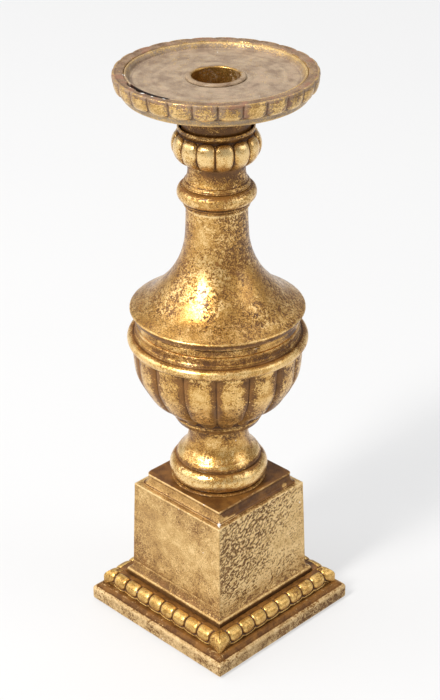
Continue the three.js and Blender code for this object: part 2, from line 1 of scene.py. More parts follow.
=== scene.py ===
"""Looks for a giltwood altar candlestick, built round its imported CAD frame.

Outlines are in millimetres, as (radius or half side, height), and each starts from the frame's own
box of the node that it stands for. Finished meshes are in metres, in the row frame. Every carved or
turned piece is a grid of rings whose points are moved by its own carving, then roughened, worn at
its arrises and painted with three vertex attributes that its material reads:
  relief  how far a point stands out from (+) or lies below (-) its surroundings
  gild    how much more (+) or less (-) gold leaf is left there than elsewhere
  gesso   1 where the leaf and bole are chipped off down to white gesso
"""

import json
import math

import bmesh
import bpy
import numpy as np
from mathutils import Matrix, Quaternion, Vector

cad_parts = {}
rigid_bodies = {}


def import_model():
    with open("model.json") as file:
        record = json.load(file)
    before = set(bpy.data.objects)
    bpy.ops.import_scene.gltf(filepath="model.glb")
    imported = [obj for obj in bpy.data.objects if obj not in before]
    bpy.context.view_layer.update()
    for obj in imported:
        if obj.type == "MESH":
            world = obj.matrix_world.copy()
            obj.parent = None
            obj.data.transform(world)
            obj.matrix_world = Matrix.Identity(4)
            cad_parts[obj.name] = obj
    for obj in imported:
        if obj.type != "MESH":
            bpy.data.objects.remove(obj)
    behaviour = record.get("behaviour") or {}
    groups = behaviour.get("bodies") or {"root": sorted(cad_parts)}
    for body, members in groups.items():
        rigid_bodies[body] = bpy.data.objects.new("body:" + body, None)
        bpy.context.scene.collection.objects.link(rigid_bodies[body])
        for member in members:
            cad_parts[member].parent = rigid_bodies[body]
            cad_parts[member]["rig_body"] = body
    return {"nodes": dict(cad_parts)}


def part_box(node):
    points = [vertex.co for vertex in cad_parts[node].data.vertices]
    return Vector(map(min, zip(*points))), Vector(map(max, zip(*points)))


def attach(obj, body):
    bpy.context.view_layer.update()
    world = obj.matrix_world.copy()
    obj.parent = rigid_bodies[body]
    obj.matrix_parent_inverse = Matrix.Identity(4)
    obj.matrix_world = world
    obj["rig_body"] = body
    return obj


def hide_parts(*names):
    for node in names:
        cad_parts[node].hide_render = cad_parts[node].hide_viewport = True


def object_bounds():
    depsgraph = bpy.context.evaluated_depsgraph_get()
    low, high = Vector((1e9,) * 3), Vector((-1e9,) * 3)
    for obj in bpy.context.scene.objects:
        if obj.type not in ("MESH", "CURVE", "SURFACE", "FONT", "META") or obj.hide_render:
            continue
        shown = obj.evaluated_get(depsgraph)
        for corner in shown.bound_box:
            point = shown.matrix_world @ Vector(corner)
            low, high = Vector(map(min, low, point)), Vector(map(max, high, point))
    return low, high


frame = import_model()
cad_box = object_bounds()

MM = 0.001
STEP = 0.8              # longest gap between two rings of a visible surface, in mm
CAMERA_TURN = -45       # direction from the axis to the camera, in degrees from +X
BOWL_LOBES = 16, CAMERA_TURN - 1.1      # how many, and where one groove lies, in degrees from +X
KNOP_LOBES = 14, CAMERA_TURN - 1.7
PAN_LOBES = 26, CAMERA_TURN + 1.04
TONGUE_PITCH = 10.7
TONGUES_PER_SIDE = 8
TONGUE_RUN = TONGUES_PER_SIDE / 2 * TONGUE_PITCH
CRACK = (-112, -73)     # the open crack beside the pan's bead, in degrees from +X

# Radii of the hollows inside, and half sides of the pedestal's blocks, in mm
BORE = 4.6
NUT_RECESS = 12
SOCKET = 10.4
CUP_POCKET = 15.2
SLAB_SPREAD = 0.8       # how far the visible slab stands past the CAD's on each side
LEDGE_HALF = 54.5
DIE_FOOT_HALF = 38.6
DIE_HEAD_HALF = 37.0
CAP_HEAD_HALF = 31.8
KNOP_RECESS_DEPTH = 4.7
CLEARANCE = 0.3         # between the cup and the pan, and round a screw's head

BURNISHED = "gilt_wood_burnished"
MATTE = "gilt_wood_matte"


def on_pan(degrees, radius, height=355.1):
    angle = math.radians(degrees)
    return radius * math.cos(angle), radius * math.sin(angle), height


# Small places where the leaf and bole are chipped off down to white gesso: centre and radius, in mm
GESSO_CHIPS = [
    ((34.0, -34.0, 88.9), 1.25), ((33.2, -32.6, 90.2), 0.5), ((19.3, -31.8, 95.6), 0.5),
    ((40.2, -20.0, 26.6), 0.55), ((50.0, -19.0, 21.0), 0.5), ((49.6, -8.0, 21.3), 0.45),
    ((37.6, 33.6, 75.0), 0.6), ((45.6, -15.3, 205.5), 0.55), (on_pan(-128, 50.5), 0.8),
    (on_pan(-104, 52.6), 0.7), (on_pan(-92, 53.0), 0.95), (on_pan(-84, 52.9), 0.8),
    (on_pan(-76, 52.4), 0.7), (on_pan(-71, 50.8), 0.6), (on_pan(-44, 47.4, 351.8), 0.55),
    (on_pan(-34, 43.0, 351.6), 0.45), (on_pan(-97, 56.0), 0.5), (on_pan(-50, 56.2), 0.4),
]


def span(node):
    """The heights of a node's bottom and top."""
    low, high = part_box(node)
    return low.z / MM, high.z / MM


def half_side(node):
    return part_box(node)[1].x / MM


def upright(node):
    """The centre on the plan, the radius, and the heights of the ends of a round node off the axis."""
    low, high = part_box(node)
    centre = (low + high) / 2 / MM
    return (centre.x, centre.y), (high.x - low.x) / 2 / MM, *span(node)


# ---- Noise ----

def hashed(x, y, z, seed):
    """A number from -1 to 1 for each lattice point, the same in every run."""
    mixed = (x * 73856093) ^ (y * 19349663) ^ (z * 83492791) ^ (seed * 2654435761)
    mixed &= 0xFFFFFFFF
    mixed = ((mixed ^ (mixed >> 13)) * 1274126177) & 0xFFFFFFFF
    mixed ^= mixed >> 16
    return (mixed & 0xFFFF) / 32767.5 - 1


def value_noise(points, period, seed):
    place = points / period
    cell = np.floor(place).astype(np.int64)
    part = place - cell
    part = part * part * (3 - 2 * part)
    total = np.zeros(len(points))
    for dx in (0, 1):
        for dy in (0, 1):
            for dz in (0, 1):
                weight = np.abs(1 - dx - part[:, 0])
                weight = weight * np.abs(1 - dy - part[:, 1])
                weight = weight * np.abs(1 - dz - part[:, 2])
                total += weight * hashed(cell[:, 0] + dx, cell[:, 1] + dy, cell[:, 2] + dz, seed)
    return total


def cloud(points, period, seed, octaves=3):
    """Noise from about -1 to 1 whose largest features are about a period across."""
    total = np.zeros(len(points))
    share = 1.0
    for octave in range(octaves):
        total += share * value_noise(points, period / 2**octave, seed + octave)
        share *= 0.5
    return total / (2 - 2 * share)


def rise(value, low, high):
    """0 below low, 1 above high, and a smooth step between them."""
    part = np.clip((value - low) / (high - low), 0, 1)
    return part * part * (3 - 2 * part)


# ---- Outlines ----

def arc(centre, radii, start, end, steps=14):
    angles = np.radians(np.linspace(start, end, steps + 1))
    return [(centre[0] + radii[0] * math.cos(a), centre[1] + radii[1] * math.sin(a)) for a in angles]


def smooth(knots, steps_between=8):
    """A Catmull-Rom curve through the knots."""
    knots = [np.array(k, float) for k in knots]
    ends = [2 * knots[0] - knots[1], *knots, 2 * knots[-1] - knots[-2]]
    curve = []
    for a, b, c, d in zip(ends, ends[1:], ends[2:], ends[3:]):
        for t in np.arange(steps_between) / steps_between:
            bend = (2 * a - 5 * b + 4 * c - d) * t**2 + (3 * b - 3 * c + d - a) * t**3
            curve.append(tuple(0.5 * (2 * b + (c - a) * t + bend)))
    curve.append(tuple(knots[-1]))
    return curve


def softened(corners, size):
    """A line through the corners, each rounded over about the given size."""
    corners = [np.array(c, float) for c in corners]
    line = [tuple(corners[0])]
    for before, corner, after in zip(corners, corners[1:], corners[2:]):
        back, ahead = before - corner, after - corner
        back *= min(size / np.linalg.norm(back), 0.45)
        ahead *= min(size / np.linalg.norm(ahead), 0.45)
        for t in np.linspace(0, 1, 4):
            line.append(tuple(corner + back * (1 - t) ** 2 + ahead * t**2))
    line.append(tuple(corners[-1]))
    return line


def lifted(base, *points):
    """Outline points whose heights are given above a base."""
    return [(across, base + height) for across, height in points]


def led_into(corners, size, curve):
    """The corners, rounded over about the size, and then the curve that they lead into."""
    return [*softened([*corners, curve[0]], size)[:-1], *curve]


def bored(low, high):
    """Hidden points that close a piece round the tie rod's bore."""
    return [(BORE, high), (BORE, low)]


def walk(outline, step=STEP):
    """The outline as an array, with points added so that no gap is longer than the step."""
    points = [np.array(outline[0], float)]
    for point in outline[1:]:
        start, end = points[-1], np.array(point, float)
        length = np.linalg.norm(end - start)
        if length < 1e-6:
            continue
        count = max(1, math.ceil(length / step))
        points.extend(start + (end - start) * i / count for i in range(1, count + 1))
    return np.array(points)


def outward(outline):
    """Unit normals to the right of the outline's direction, and the distance run along it."""
    along = np.gradient(outline, axis=0)
    along /= np.linalg.norm(along, axis=1, keepdims=True) + 1e-12
    run = np.concatenate([[0], np.cumsum(np.linalg.norm(np.diff(outline, axis=0), axis=1))])
    return np.stack([along[:, 1], -along[:, 0]], 1), run


# ---- Grids of rings ----

def with_row(grid, row):
    """The grid with one more row, given as its numbers or as one number for all."""
    return np.vstack([grid, np.broadcast_to(row, (1, grid.shape[1]))])


def crowded(count):
    """Numbers from -1 up to 1 that lie closer together near both ends."""
    t = np.linspace(-1, 1, count, endpoint=False)
    return 1.5 * t - 0.5 * t**3


def even_turn(count):
    return np.linspace(0, 2 * math.pi, count, endpoint=False)


def lobe_turn(lobes, first_groove, per_lobe):
    """Angles round a lobed piece, crowded at the grooves."""
    pitch = 2 * math.pi / lobes
    start = math.radians(first_groove)
    return np.concatenate([start + pitch * (i + (crowded(per_lobe) + 1) / 2) for i in range(lobes)])


def grid_faces(rows, columns, closed_rows=True, closed_columns=True):
    faces = []
    for row in range(rows if closed_rows else rows - 1):
        below, above = row * columns, ((row + 1) % rows) * columns
        for column in range(columns if closed_columns else columns - 1):
            beside = (column + 1) % columns
            faces.append((below + column, below + beside, above + beside, above + column))
    return faces


def turned(outline, turn, carve=None, hidden=()):
    """Points and faces of a turned piece. carve(angle, run, radius, height) gives, in mm, how far each
    point moves out along the outline's normal. The hidden points close the outline and aren't carved."""
    outline = walk(outline)
    normals, run = outward(outline)
    angle, run = np.meshgrid(turn, run)
    radius = np.repeat(outline[:, :1], len(turn), 1)
    height = np.repeat(outline[:, 1:], len(turn), 1)
    if carve is not None:
        offset = carve(angle, run, radius, height)
        radius, height = radius + offset * normals[:, :1], height + offset * normals[:, 1:]
    for hidden_radius, hidden_height in hidden:
        radius, height = with_row(radius, hidden_radius), with_row(height, hidden_height)
        angle = with_row(angle, turn)
    points = np.stack([radius * np.cos(angle), radius * np.sin(angle), height], -1)
    return points.reshape(-1, 3), grid_faces(len(points), len(turn), closed_rows=outline[0, 0] > 0)


def square_plan(per_side):
    """Points round a square of half side 1, from its (-1, -1) corner, crowded at the corners."""
    side = crowded(per_side)
    across = np.stack([side, -np.ones(per_side)], 1)
    sides = [across]
    for _ in range(3):
        across = np.stack([-across[:, 1], across[:, 0]], 1)
        sides.append(across)
    return np.concatenate(sides)


def square_ring(plan, half, corners):
    """The plan at a half side, with its corners rounded. corners holds the radii of the corners at
    (-, -), (+, -), (+, +) and (-, +)."""
    left, back = plan[:, 0] < 0, plan[:, 1] > 0
    on_left = np.where(back, corners[3], corners[0])
    radius = np.where(left, on_left, np.where(back, corners[2], corners[1]))
    radius = np.minimum(radius, half)[:, None]
    inner = np.clip(plan * half, radius - half, half - radius)
    away = plan * half - inner
    return inner + away / (np.linalg.norm(away, axis=1, keepdims=True) + 1e-12) * radius


def squared(outline, per_side, corners, hidden):
    """Points and faces of a square moulded block. The hidden points are circles that close it."""
    outline = walk(outline)
    plan = square_plan(per_side)
    rings = []
    for half, height in outline:
        ring = square_ring(plan, half, corners)
        rings.append(np.column_stack([ring, np.full(len(ring), height)]))
    for radius, height in hidden:
        ring = square_ring(plan, radius, [radius] * 4)
        rings.append(np.column_stack([ring, np.full(len(ring), height)]))
    return np.concatenate(rings), grid_faces(len(rings), len(plan))


# ---- Carving ----

def dome(reach_share, fullness):
    """Height of a carved swelling, from 1 in its middle to 0 at its edge, where reach_share is 1."""
    return np.sqrt(np.clip(1 - reach_share**fullness, 0, 1))


def lobe_share(across, run, width, low, high, squareness, end):
    """How near a point is to the edge of a lobe with rounded ends, 0 on its middle line and 1 at its
    edge. across and width are in mm, the lobe runs from low to high, and end is the length of its
    rounded ends."""
    beyond = np.maximum(np.maximum(low + end - run, run - high + end), 0)
    return (np.abs(across / width) ** squareness + (beyond / end) ** squareness) ** (1 / squareness)


def lobes_round(lobes, first_groove, low, high, rise_by, fullness, squareness, slot, end):
    """Carving for lobes that stand out round a turned piece, with slots of the given width between."""
    pitch = 2 * math.pi / lobes

    def carve(angle, run, radius, height):
        share = ((angle - math.radians(first_groove)) / pitch) % 1
        width = radius * pitch / 2
        across = (2 * share - 1) * width
        reach_share = lobe_share(across, run, width - slot / 2, low, high, squareness, end)
        return rise_by * dome(reach_share, fullness)

    return carve


def chipped(points):
    """1 inside the gesso chips and 0 elsewhere, with ragged edges."""
    shown = np.zeros(len(points))
    for centre, radius in GESSO_CHIPS:
        distance = np.linalg.norm(points - centre, axis=1)
        close = np.where(distance < 2.5 * radius)[0]
        if len(close):
            away = distance[close] + 0.4 * radius * cloud(points[close], radius, 91, 2)
            shown[close] = np.maximum(shown[close], 1 - rise(away, 0.75 * radius, 1.05 * radius))
    return shown


# ---- Making a piece ----

def linked(name, data):
    """A new object in the scene."""
    thing = bpy.data.objects.new(name, data)
    bpy.context.scene.collection.objects.link(thing)
    return thing


def mesh_object(name, points, faces):
    mesh = bpy.data.meshes.new(name)
    mesh.from_pydata((points * MM).tolist(), [], faces)
    work = bmesh.new()
    work.from_mesh(mesh)
    bmesh.ops.remove_doubles(work, verts=work.verts, dist=2e-6)
    bmesh.ops.dissolve_degenerate(work, edges=work.edges, dist=1e-7)
    bmesh.ops.recalc_face_normals(work, faces=work.faces)
    work.to_mesh(mesh)
    work.free()
    return linked(name, mesh)


def cut_away(piece, tools):
    """Cuts the tool objects out of a piece, and removes them."""
    for tool in tools:
        change = piece.modifiers.new("cut", "BOOLEAN")
        change.operation = "DIFFERENCE"
        change.solver = "EXACT"
        change.object = tool
    shape = piece.evaluated_get(bpy.context.evaluated_depsgraph_get())
    mesh = bpy.data.meshes.new_from_object(shape)
    piece.modifiers.clear()
    piece.data = mesh
    for tool in tools:
        bpy.data.objects.remove(tool)


def read_points(mesh):
    """Positions in mm and unit normals of a mesh's vertices."""
    places = np.empty(len(mesh.vertices) * 3)
    normals = np.empty(len(mesh.vertices) * 3)
    mesh.vertices.foreach_get("co", places)
    mesh.vertices.foreach_get("normal", normals)
    return places.reshape(-1, 3) / MM, normals.reshape(-1, 3)


def write_points(mesh, points):
    mesh.vertices.foreach_set("co", (points * MM).ravel())
    mesh.update()


def relief_of(mesh, passes):
    """How far each vertex stands out from the average of its surroundings, in mm."""
    points, normals = read_points(mesh)
    edges = np.empty(len(mesh.edges) * 2, np.int64)
    mesh.edges.foreach_get("vertices", edges)
    ends = edges.reshape(-1, 2)
    both = np.concatenate([ends, ends[:, ::-1]])
    degree = np.maximum(np.bincount(both[:, 0], minlength=len(points)), 1)
    level = points.copy()
    for _ in range(passes):
        total = [np.bincount(both[:, 0], level[both[:, 1], axis], len(points)) for axis in range(3)]
        level = 0.5 * level + 0.5 * np.stack(total, 1) / degree[:, None]
    return ((points - level) * normals).sum(1)


def write_attribute(mesh, name, values):
    attribute = mesh.attributes.new(name, "FLOAT", "POINT")
    attribute.data.foreach_set("value", values.astype(np.float32))


def weather(mesh, seed, rough, wear):
    """Hand-made unevenness all over, and wear that rounds and nicks the arrises."""
    points, normals = read_points(mesh)
    sharpness = rise(relief_of(mesh, 3), 0.03, 0.16)
    nicks = rise(cloud(points, 5.0, seed + 20), 0.05, 0.7)
    nicks = nicks + 0.5 * rise(cloud(points, 1.6, seed + 30), 0.1, 0.6)
    offset = rough * (0.7 * cloud(points, 9.0, seed) + 0.3 * cloud(points, 2.2, seed + 10))
    offset -= wear * sharpness * (0.25 + nicks)
    write_points(mesh, points + normals * offset[:, None])


def finish_piece(name, shape, node, slot, material, seed, rough=0.12, wear=0.25, gild=None, cuts=()):
    """Makes a piece that stands for a CAD node: shape is its points in mm and its faces."""
    piece = mesh_object(name, *shape)
    if cuts:
        cut_away(piece, cuts)
    mesh = piece.data
    weather(mesh, seed, rough, wear)
    points, normals = read_points(mesh)
    write_attribute(mesh, "relief", relief_of(mesh, 6))
    write_attribute(mesh, "gild", np.zeros(len(points)) if gild is None else gild(points, normals))
    write_attribute(mesh, "gesso", chipped(points))
    mesh.shade_smooth()
    mesh.materials.clear()
    mesh.materials.append(material)
    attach(piece, frame["nodes"][node]["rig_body"])
    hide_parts(node)


def finish_turned(name, outline, count, node, slot, material, seed, hidden=None, **looks):
    """Makes a plain turned piece, with count points round it. It is closed round the tie rod's bore
    unless other hidden points are given."""
    shape = turned(outline, even_turn(count), hidden=hidden or bored(*span(node)))
    finish_piece(name, shape, node, slot, material, seed, **looks)


# ---- Materials ----

class Shader:
    """A material under construction. Lengths are in mm, and noises are centred on 0."""

    def __init__(self, name):
        self.material = bpy.data.materials.new(name)
        self.material.use_nodes = True
        self.tree = self.material.node_tree
        self.tree.nodes.clear()
        self.place = self.add("ShaderNodeTexCoord").outputs["Object"]

    def add(self, kind, inputs=None, **settings):
        node = self.tree.nodes.new(kind)
        for key, value in settings.items():
            setattr(node, key, value)
        for key, value in (inputs or {}).items():
            self.feed(node.inputs[key], value)
        return node

    def feed(self, socket, value):
        if isinstance(value, bpy.types.NodeSocket):
            self.tree.links.new(value, socket)
        else:
            socket.default_value = value

    def math(self, operation, a, b=0.0, c=0.0):
        return self.add("ShaderNodeMath", {0: a, 1: b, 2: c}, operation=operation).outputs[0]

    def noise(self, period, detail=3.0, roughness=0.6, distortion=0.0, shift=(0, 0, 0),
              stretch=(1, 1, 1)):
        place = self.add("ShaderNodeMapping", {"Vector": self.place, "Location": shift, "Scale": stretch})
        node = self.add("ShaderNodeTexNoise", {
            "Vector": place.outputs[0], "Scale": 1 / (period * MM), "Detail": detail,
            "Roughness": roughness, "Distortion": distortion,
        })
        return self.math("SUBTRACT", node.outputs[0], 0.5)

    def total(self, *terms):
        """The sum of (value, weight) pairs."""
        whole = 0.0
        for value, weight in terms:
            whole = self.math("MULTIPLY_ADD", value, weight, whole)
        return whole

    def step(self, value, low, high, start=0.0, end=1.0):
        return self.add("ShaderNodeMapRange", {
            "Value": value, "From Min": low, "From Max": high, "To Min": start, "To Max": end,
        }, interpolation_type="SMOOTHSTEP").outputs[0]

    def blend(self, share, a, b):
        node = self.add("ShaderNodeMix", data_type="RGBA")
        for index, value in ((0, share), (6, a), (7, b)):
            self.feed(node.inputs[index], (*value, 1) if isinstance(value, tuple) else value)
        return node.outputs[2]

    def attribute(self, name):
        return self.add("ShaderNodeAttribute", attribute_name=name).outputs["Fac"]

    def specks(self, spacing, size):
        """1 inside sparse specks of about the given radius, and 0 elsewhere."""
        place = self.add("ShaderNodeTexVoronoi", {"Vector": self.place, "Scale": 1 / (spacing * MM)})
        return self.step(place.outputs["Distance"], size / spacing * 0.7, size / spacing, 1.0, 0.0)

    def close(self, colour, roughness, metallic, height, depth, **fixed):
        """The surface itself. height is a number for the bump, and depth its size in mm."""
        bump = self.add("ShaderNodeBump", {"Height": height, "Distance": depth * MM, "Strength": 1.0})
        inputs = {"Base Color": colour, "Roughness": roughness, "Metallic": metallic,
                  "Normal": bump.outputs[0]}
        inputs.update({key.replace("_", " "): value for key, value in fixed.items()})
        surface = self.add("ShaderNodeBsdfPrincipled", inputs)
        self.add("ShaderNodeOutputMaterial", {"Surface": surface.outputs[0]})
        return self.material


GOLD_LIGHT = (0.90, 0.64, 0.29)
GOLD = (0.62, 0.345, 0.085)
GOLD_DEEP = (0.38, 0.18, 0.036)
BOLE = (0.215, 0.094, 0.021)
BOLE_DARK = (0.080, 0.031, 0.008)
BOLE_RED = (0.24, 0.075, 0.04)
GESSO = (0.86, 0.84, 0.80)
# painted shade: near-black colour for the inside of the pan's open crack
CRACK_SHADE = (0.016, 0.010, 0.007)


def gilt(name, cover, shine=0.34, light=GOLD_LIGHT, gold=GOLD, deep=GOLD_DEEP, bole=BOLE, dark=BOLE_DARK,
         fleck=1.5, patches=1.5, flecks=2.0, threads=2.4, hollow=2.6, edge=0.13, metal=0.85, red=0.0,
         coat=0.3):
    """Worn gold leaf over brown bole. cover shifts how much leaf is left, fleck is the size of the small
    bare places in mm, patches, flecks and threads are the shares of each kind, and hollow says how
    strongly hollows lose leaf and arrises keep it."""
    patch, grit = 11.0, 0.9
    s = Shader(name)
    relief = s.attribute("relief")
    gild = s.attribute("gild")
    wide = s.noise(patch, 4.0, 0.62, 0.5)
    worms = s.noise(fleck, 3.0, 0.6, 1.2, shift=(0.31, 0.17, 0.05))
    winding = s.noise(fleck * 1.5, 2.0, 0.5, 1.6, shift=(0.5, 0.3, 0.8))
    thread = s.math("SUBTRACT", s.math("ABSOLUTE", winding), 0.07)
    fine = s.noise(0.5, 2.0, 0.6, 0.0, shift=(0.11, 0.7, 0.4))
    tone = s.noise(patch * 0.7, 3.0, 0.55, 0.3, shift=(0.9, 0.4, 0.2))
    held = s.math("MINIMUM", s.math("MAXIMUM", relief, -0.22), 0.12)
    lively = s.step(s.noise(30.0, 2.0, shift=(0.2, 0.6, 0.1)), -0.14, 0.08, 0.35, 1.25)
    marks = s.math("MULTIPLY", s.total((worms, flecks), (thread, threads)), lively)
    leaf = s.total((wide, patches), (marks, 1.0), (fine, grit), (gild, 1.0), (held, hollow))
    leaf = s.math("ADD", leaf, cover)
    share = s.step(leaf, -edge, edge)

    sheen = s.total((leaf, 0.42), (tone, 0.5), (fine, 0.5), (held, 0.8))
    gold_colour = s.blend(s.step(sheen, -0.02, 0.16), deep, gold)
    gold_colour = s.blend(s.step(sheen, 0.14, 0.36), gold_colour, light)
    # painted shade: where the paints push gild below about -0.95, as inside the pan's open crack, the bare
    # colour darkens towards near black
    deep_shade = s.math("MINIMUM", s.math("ADD", gild, 0.95), 0.0)
    depth = s.total((tone, 1.0), (fine, 0.8), (held, 2.2), (deep_shade, 1.5))
    bare = s.blend(s.step(depth, -0.25, 0.25), dark, bole)
    bare = s.blend(s.step(deep_shade, -1.0, -0.3, 1.0, 0.0), bare, CRACK_SHADE)
    if red:
        bare = s.blend(s.step(s.total((tone, 1.0), (wide, -0.8)), 0.04, 0.16, 0.0, red), bare, BOLE_RED)
    colour = s.blend(share, bare, gold_colour)
    white = s.math("MAXIMUM", s.specks(19.0, 0.36), s.attribute("gesso"))
    colour = s.blend(white, colour, GESSO)

    roughness = s.total((s.step(share, 0.0, 1.0, 0.46, shine), 1.0), (fine, 0.16), (wide, 0.12))
    metallic = s.math("MULTIPLY", s.math("MULTIPLY", share, metal), s.math("SUBTRACT", 1.0, white))
    height = s.total((share, 0.5), (fine, 0.55), (worms, 0.45))
    return s.close(colour, roughness, metallic, height, 0.12, IOR=1.2, Coat_Weight=coat, Coat_Roughness=0.22)


def felt_material():
    s = Shader("felt")
    fibres = s.noise(0.5, 4.0, 0.8, 2.0)
    tone = s.noise(3.0, 3.0)
    share = s.step(s.total((fibres, 1.0), (tone, 0.6)), -0.3, 0.3)
    colour = s.blend(share, (0.012, 0.010, 0.009), (0.05, 0.043, 0.036))
    return s.close(colour, 0.95, 0.0, fibres, 0.25, Sheen_Weight=0.4)


def steel_material():
    s = Shader("fastener_steel")
    brushed = s.noise(1.2, 3.0, 0.6, 0.0, stretch=(1, 1, 6))
    stain = s.noise(4.0, 4.0)
    colour = s.blend(s.step(stain, 0.0, 0.25), (0.46, 0.45, 0.43), (0.24, 0.19, 0.14))
    roughness = s.total((brushed, 0.3), (stain, 0.5))
    return s.close(colour, s.math("ADD", roughness, 0.38), 0.9, brushed, 0.04)


def painted_core_material():
    """Bole brushed over the core, which shows only in the joint behind the gadroon strips."""
    s = Shader("painted_core")
    grain = s.noise(1.4, 4.0, 0.6, 0.3, stretch=(1, 1, 3))
    dust = s.noise(5.0, 3.0)
    share = s.step(s.total((grain, 1.0), (dust, 0.7)), -0.25, 0.25)
    colour = s.blend(share, BOLE_DARK, (0.17, 0.078, 0.024))
    roughness = s.math("ADD", s.math("MULTIPLY", dust, 0.3), 0.5)
    return s.close(colour, roughness, 0.0, grain, 0.1, IOR=1.4)


# ---- Painting: where leaf is kept or lost ----

def middle_of_lobes(lobes, first_groove, keep, lose):
    """More leaf on the middles of lobes and less beside the grooves."""
    def paint(points, normals):
        share = ((polar(points)[1] - math.radians(first_groove)) * lobes / (2 * math.pi)) % 1
        return keep - (keep + lose) * rise(np.abs(2 * share - 1), 0.35, 0.95)
    return paint


def level_paint(low, rising, high=0, falling=()):
    """Leaf that changes with the height, through (height in mm, gild) pairs. The heights in rising are
    counted from low, and those in falling from high."""
    heights = [low + h for h, _ in rising] + [high + h for h, _ in falling]
    amounts = [gild for _, gild in (*rising, *falling)]
    return lambda points, normals: np.interp(points[:, 2], heights, amounts)


def polar(points):
    """Radius and angle round the axis."""
    return np.hypot(points[:, 0], points[:, 1]), np.arctan2(points[:, 1], points[:, 0])


def reach_of(points):
    """How far out each point is, measured square to the side of the base that it faces."""
    return np.maximum(np.abs(points[:, 0]), np.abs(points[:, 1]))


def on_right(points, width):
    """1 on the side that faces +X, which is the right one in the photo, and 0 elsewhere."""
    return rise(points[:, 0] - np.abs(points[:, 1]), 0, width)


def near(distance, width):
    """1 where the distance is 0, fading out over about the width."""
    return np.exp(-((distance / width) ** 2))


# ---- Camera, floor and light ----

def look_at(thing, target):
    direction = Vector(target) - thing.location
    thing.rotation_mode = "QUATERNION"
    thing.rotation_quaternion = direction.to_track_quat("-Z", "Y")


def add_camera():
    distance, pitch, roll = 1.0173, 28.44, -0.354
    aside, aim_share = 0.00127, 0.511
    low, high = cad_box
    target_height = low.z + aim_share * (high.z - low.z)
    azimuth = math.radians(CAMERA_TURN)
    rise_angle = math.radians(pitch)
    away = Vector((
        math.cos(azimuth) * math.cos(rise_angle),
        math.sin(azimuth) * math.cos(rise_angle),
        math.sin(rise_angle),
    ))
    right = Vector((-math.sin(azimuth), math.cos(azimuth), 0))
    target = Vector((0, 0, target_height)) + right * aside
    lens = bpy.data.cameras.new("camera")
    lens.lens = 88.1
    lens.sensor_width = 36
    lens.clip_start = 0.05
    camera = linked("camera", lens)
    camera.location = target + away * distance
    look_at(camera, target)
    camera.rotation_quaternion = camera.rotation_quaternion @ Quaternion((0, 0, 1), math.radians(roll))
    bpy.context.scene.camera = camera


def add_floor():
    reach, ground = 12.0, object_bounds()[0].z
    plan = ((-reach, -reach), (reach, -reach), (reach, reach), (-reach, reach))
    corners = [(x, y, ground) for x, y in plan]
    mesh = bpy.data.meshes.new("floor")
    mesh.from_pydata(corners, [], [(0, 1, 2, 3)])
    s = Shader("floor_paper")
    tint = s.blend(s.step(s.noise(600.0, 2.0), -0.3, 0.3), (0.27, 0.27, 0.272), (0.28, 0.28, 0.28))
    mesh.materials.append(s.close(tint, 0.9, 0.0, s.noise(1.0), 0.01, Emission_Color=(1, 1, 1, 1),
                                  Emission_Strength=0.54))
    linked("floor", mesh)


def add_light(name, azimuth, elevation, distance, size, power, colour=(1, 1, 1)):
    """A soft box, size being its width and height. Azimuth 0 stands before the -Y side, 90 beside +X."""
    a, e = math.radians(azimuth), math.radians(elevation)
    lamp = bpy.data.lights.new(name, "AREA")
    lamp.shape = "RECTANGLE"
    lamp.size, lamp.size_y = size
    lamp.energy = power
    lamp.color = colour
    light = linked(name, lamp)
    away = Vector((math.sin(a) * math.cos(e), -math.cos(a) * math.cos(e), math.sin(e)))
    light.location = away * distance
    look_at(light, (0, 0, 0.17))


def add_studio():
    scene = bpy.context.scene
    scene.view_settings.view_transform = "Standard"
    world = bpy.data.worlds.new("studio")
    world.use_nodes = True
    background = world.node_tree.nodes["Background"]
    background.inputs["Color"].default_value = (0.95, 0.97, 1.0, 1)
    background.inputs["Strength"].default_value = 0.42
    scene.world = world
    add_light("key", 2, 48, 3.5, (0.5, 1.35), 118, (1.0, 0.97, 0.93))
    add_light("left_panel", -48, 34, 4.2, (3.3, 3.3), 58)
    add_light("right_panel", 120, 35, 4.6, (2.2, 3.1), 42)
    add_light("overhead", 215, 70, 4.8, (4.8, 4.8), 72)


# ---- Pedestal ----

def felt_pads():
    for number in (1, 2, 3, 4):
        node = f"foot_pad_{number}"
        centre, radius, low, high = upright(node)
        outline = softened([(0, low), (radius, low), (radius, high), (0, high)], 0.4)
        points, faces = turned(outline, even_turn(48))
        points[:, :2] += centre
        finish_piece(f"felt_pad_{number}", (points, faces), node, "felt", felt, 700 + number,
                     rough=0.08, wear=0)


def screw_cutter(node):
    """A countersunk hole round a slab screw, open below."""
    centre, head, low, _ = upright(node)
    mouth, shank = head + CLEARANCE, 2.1
    outline = lifted(low, (0, -3), (mouth, -3), (mouth, 0.3), (shank, 2.9), (shank, 20), (0, 20))
    points, faces = turned(outline, even_turn(24))
    points[:, :2] += centre
    return mesh_object(f"cutter_{node}", points, faces)


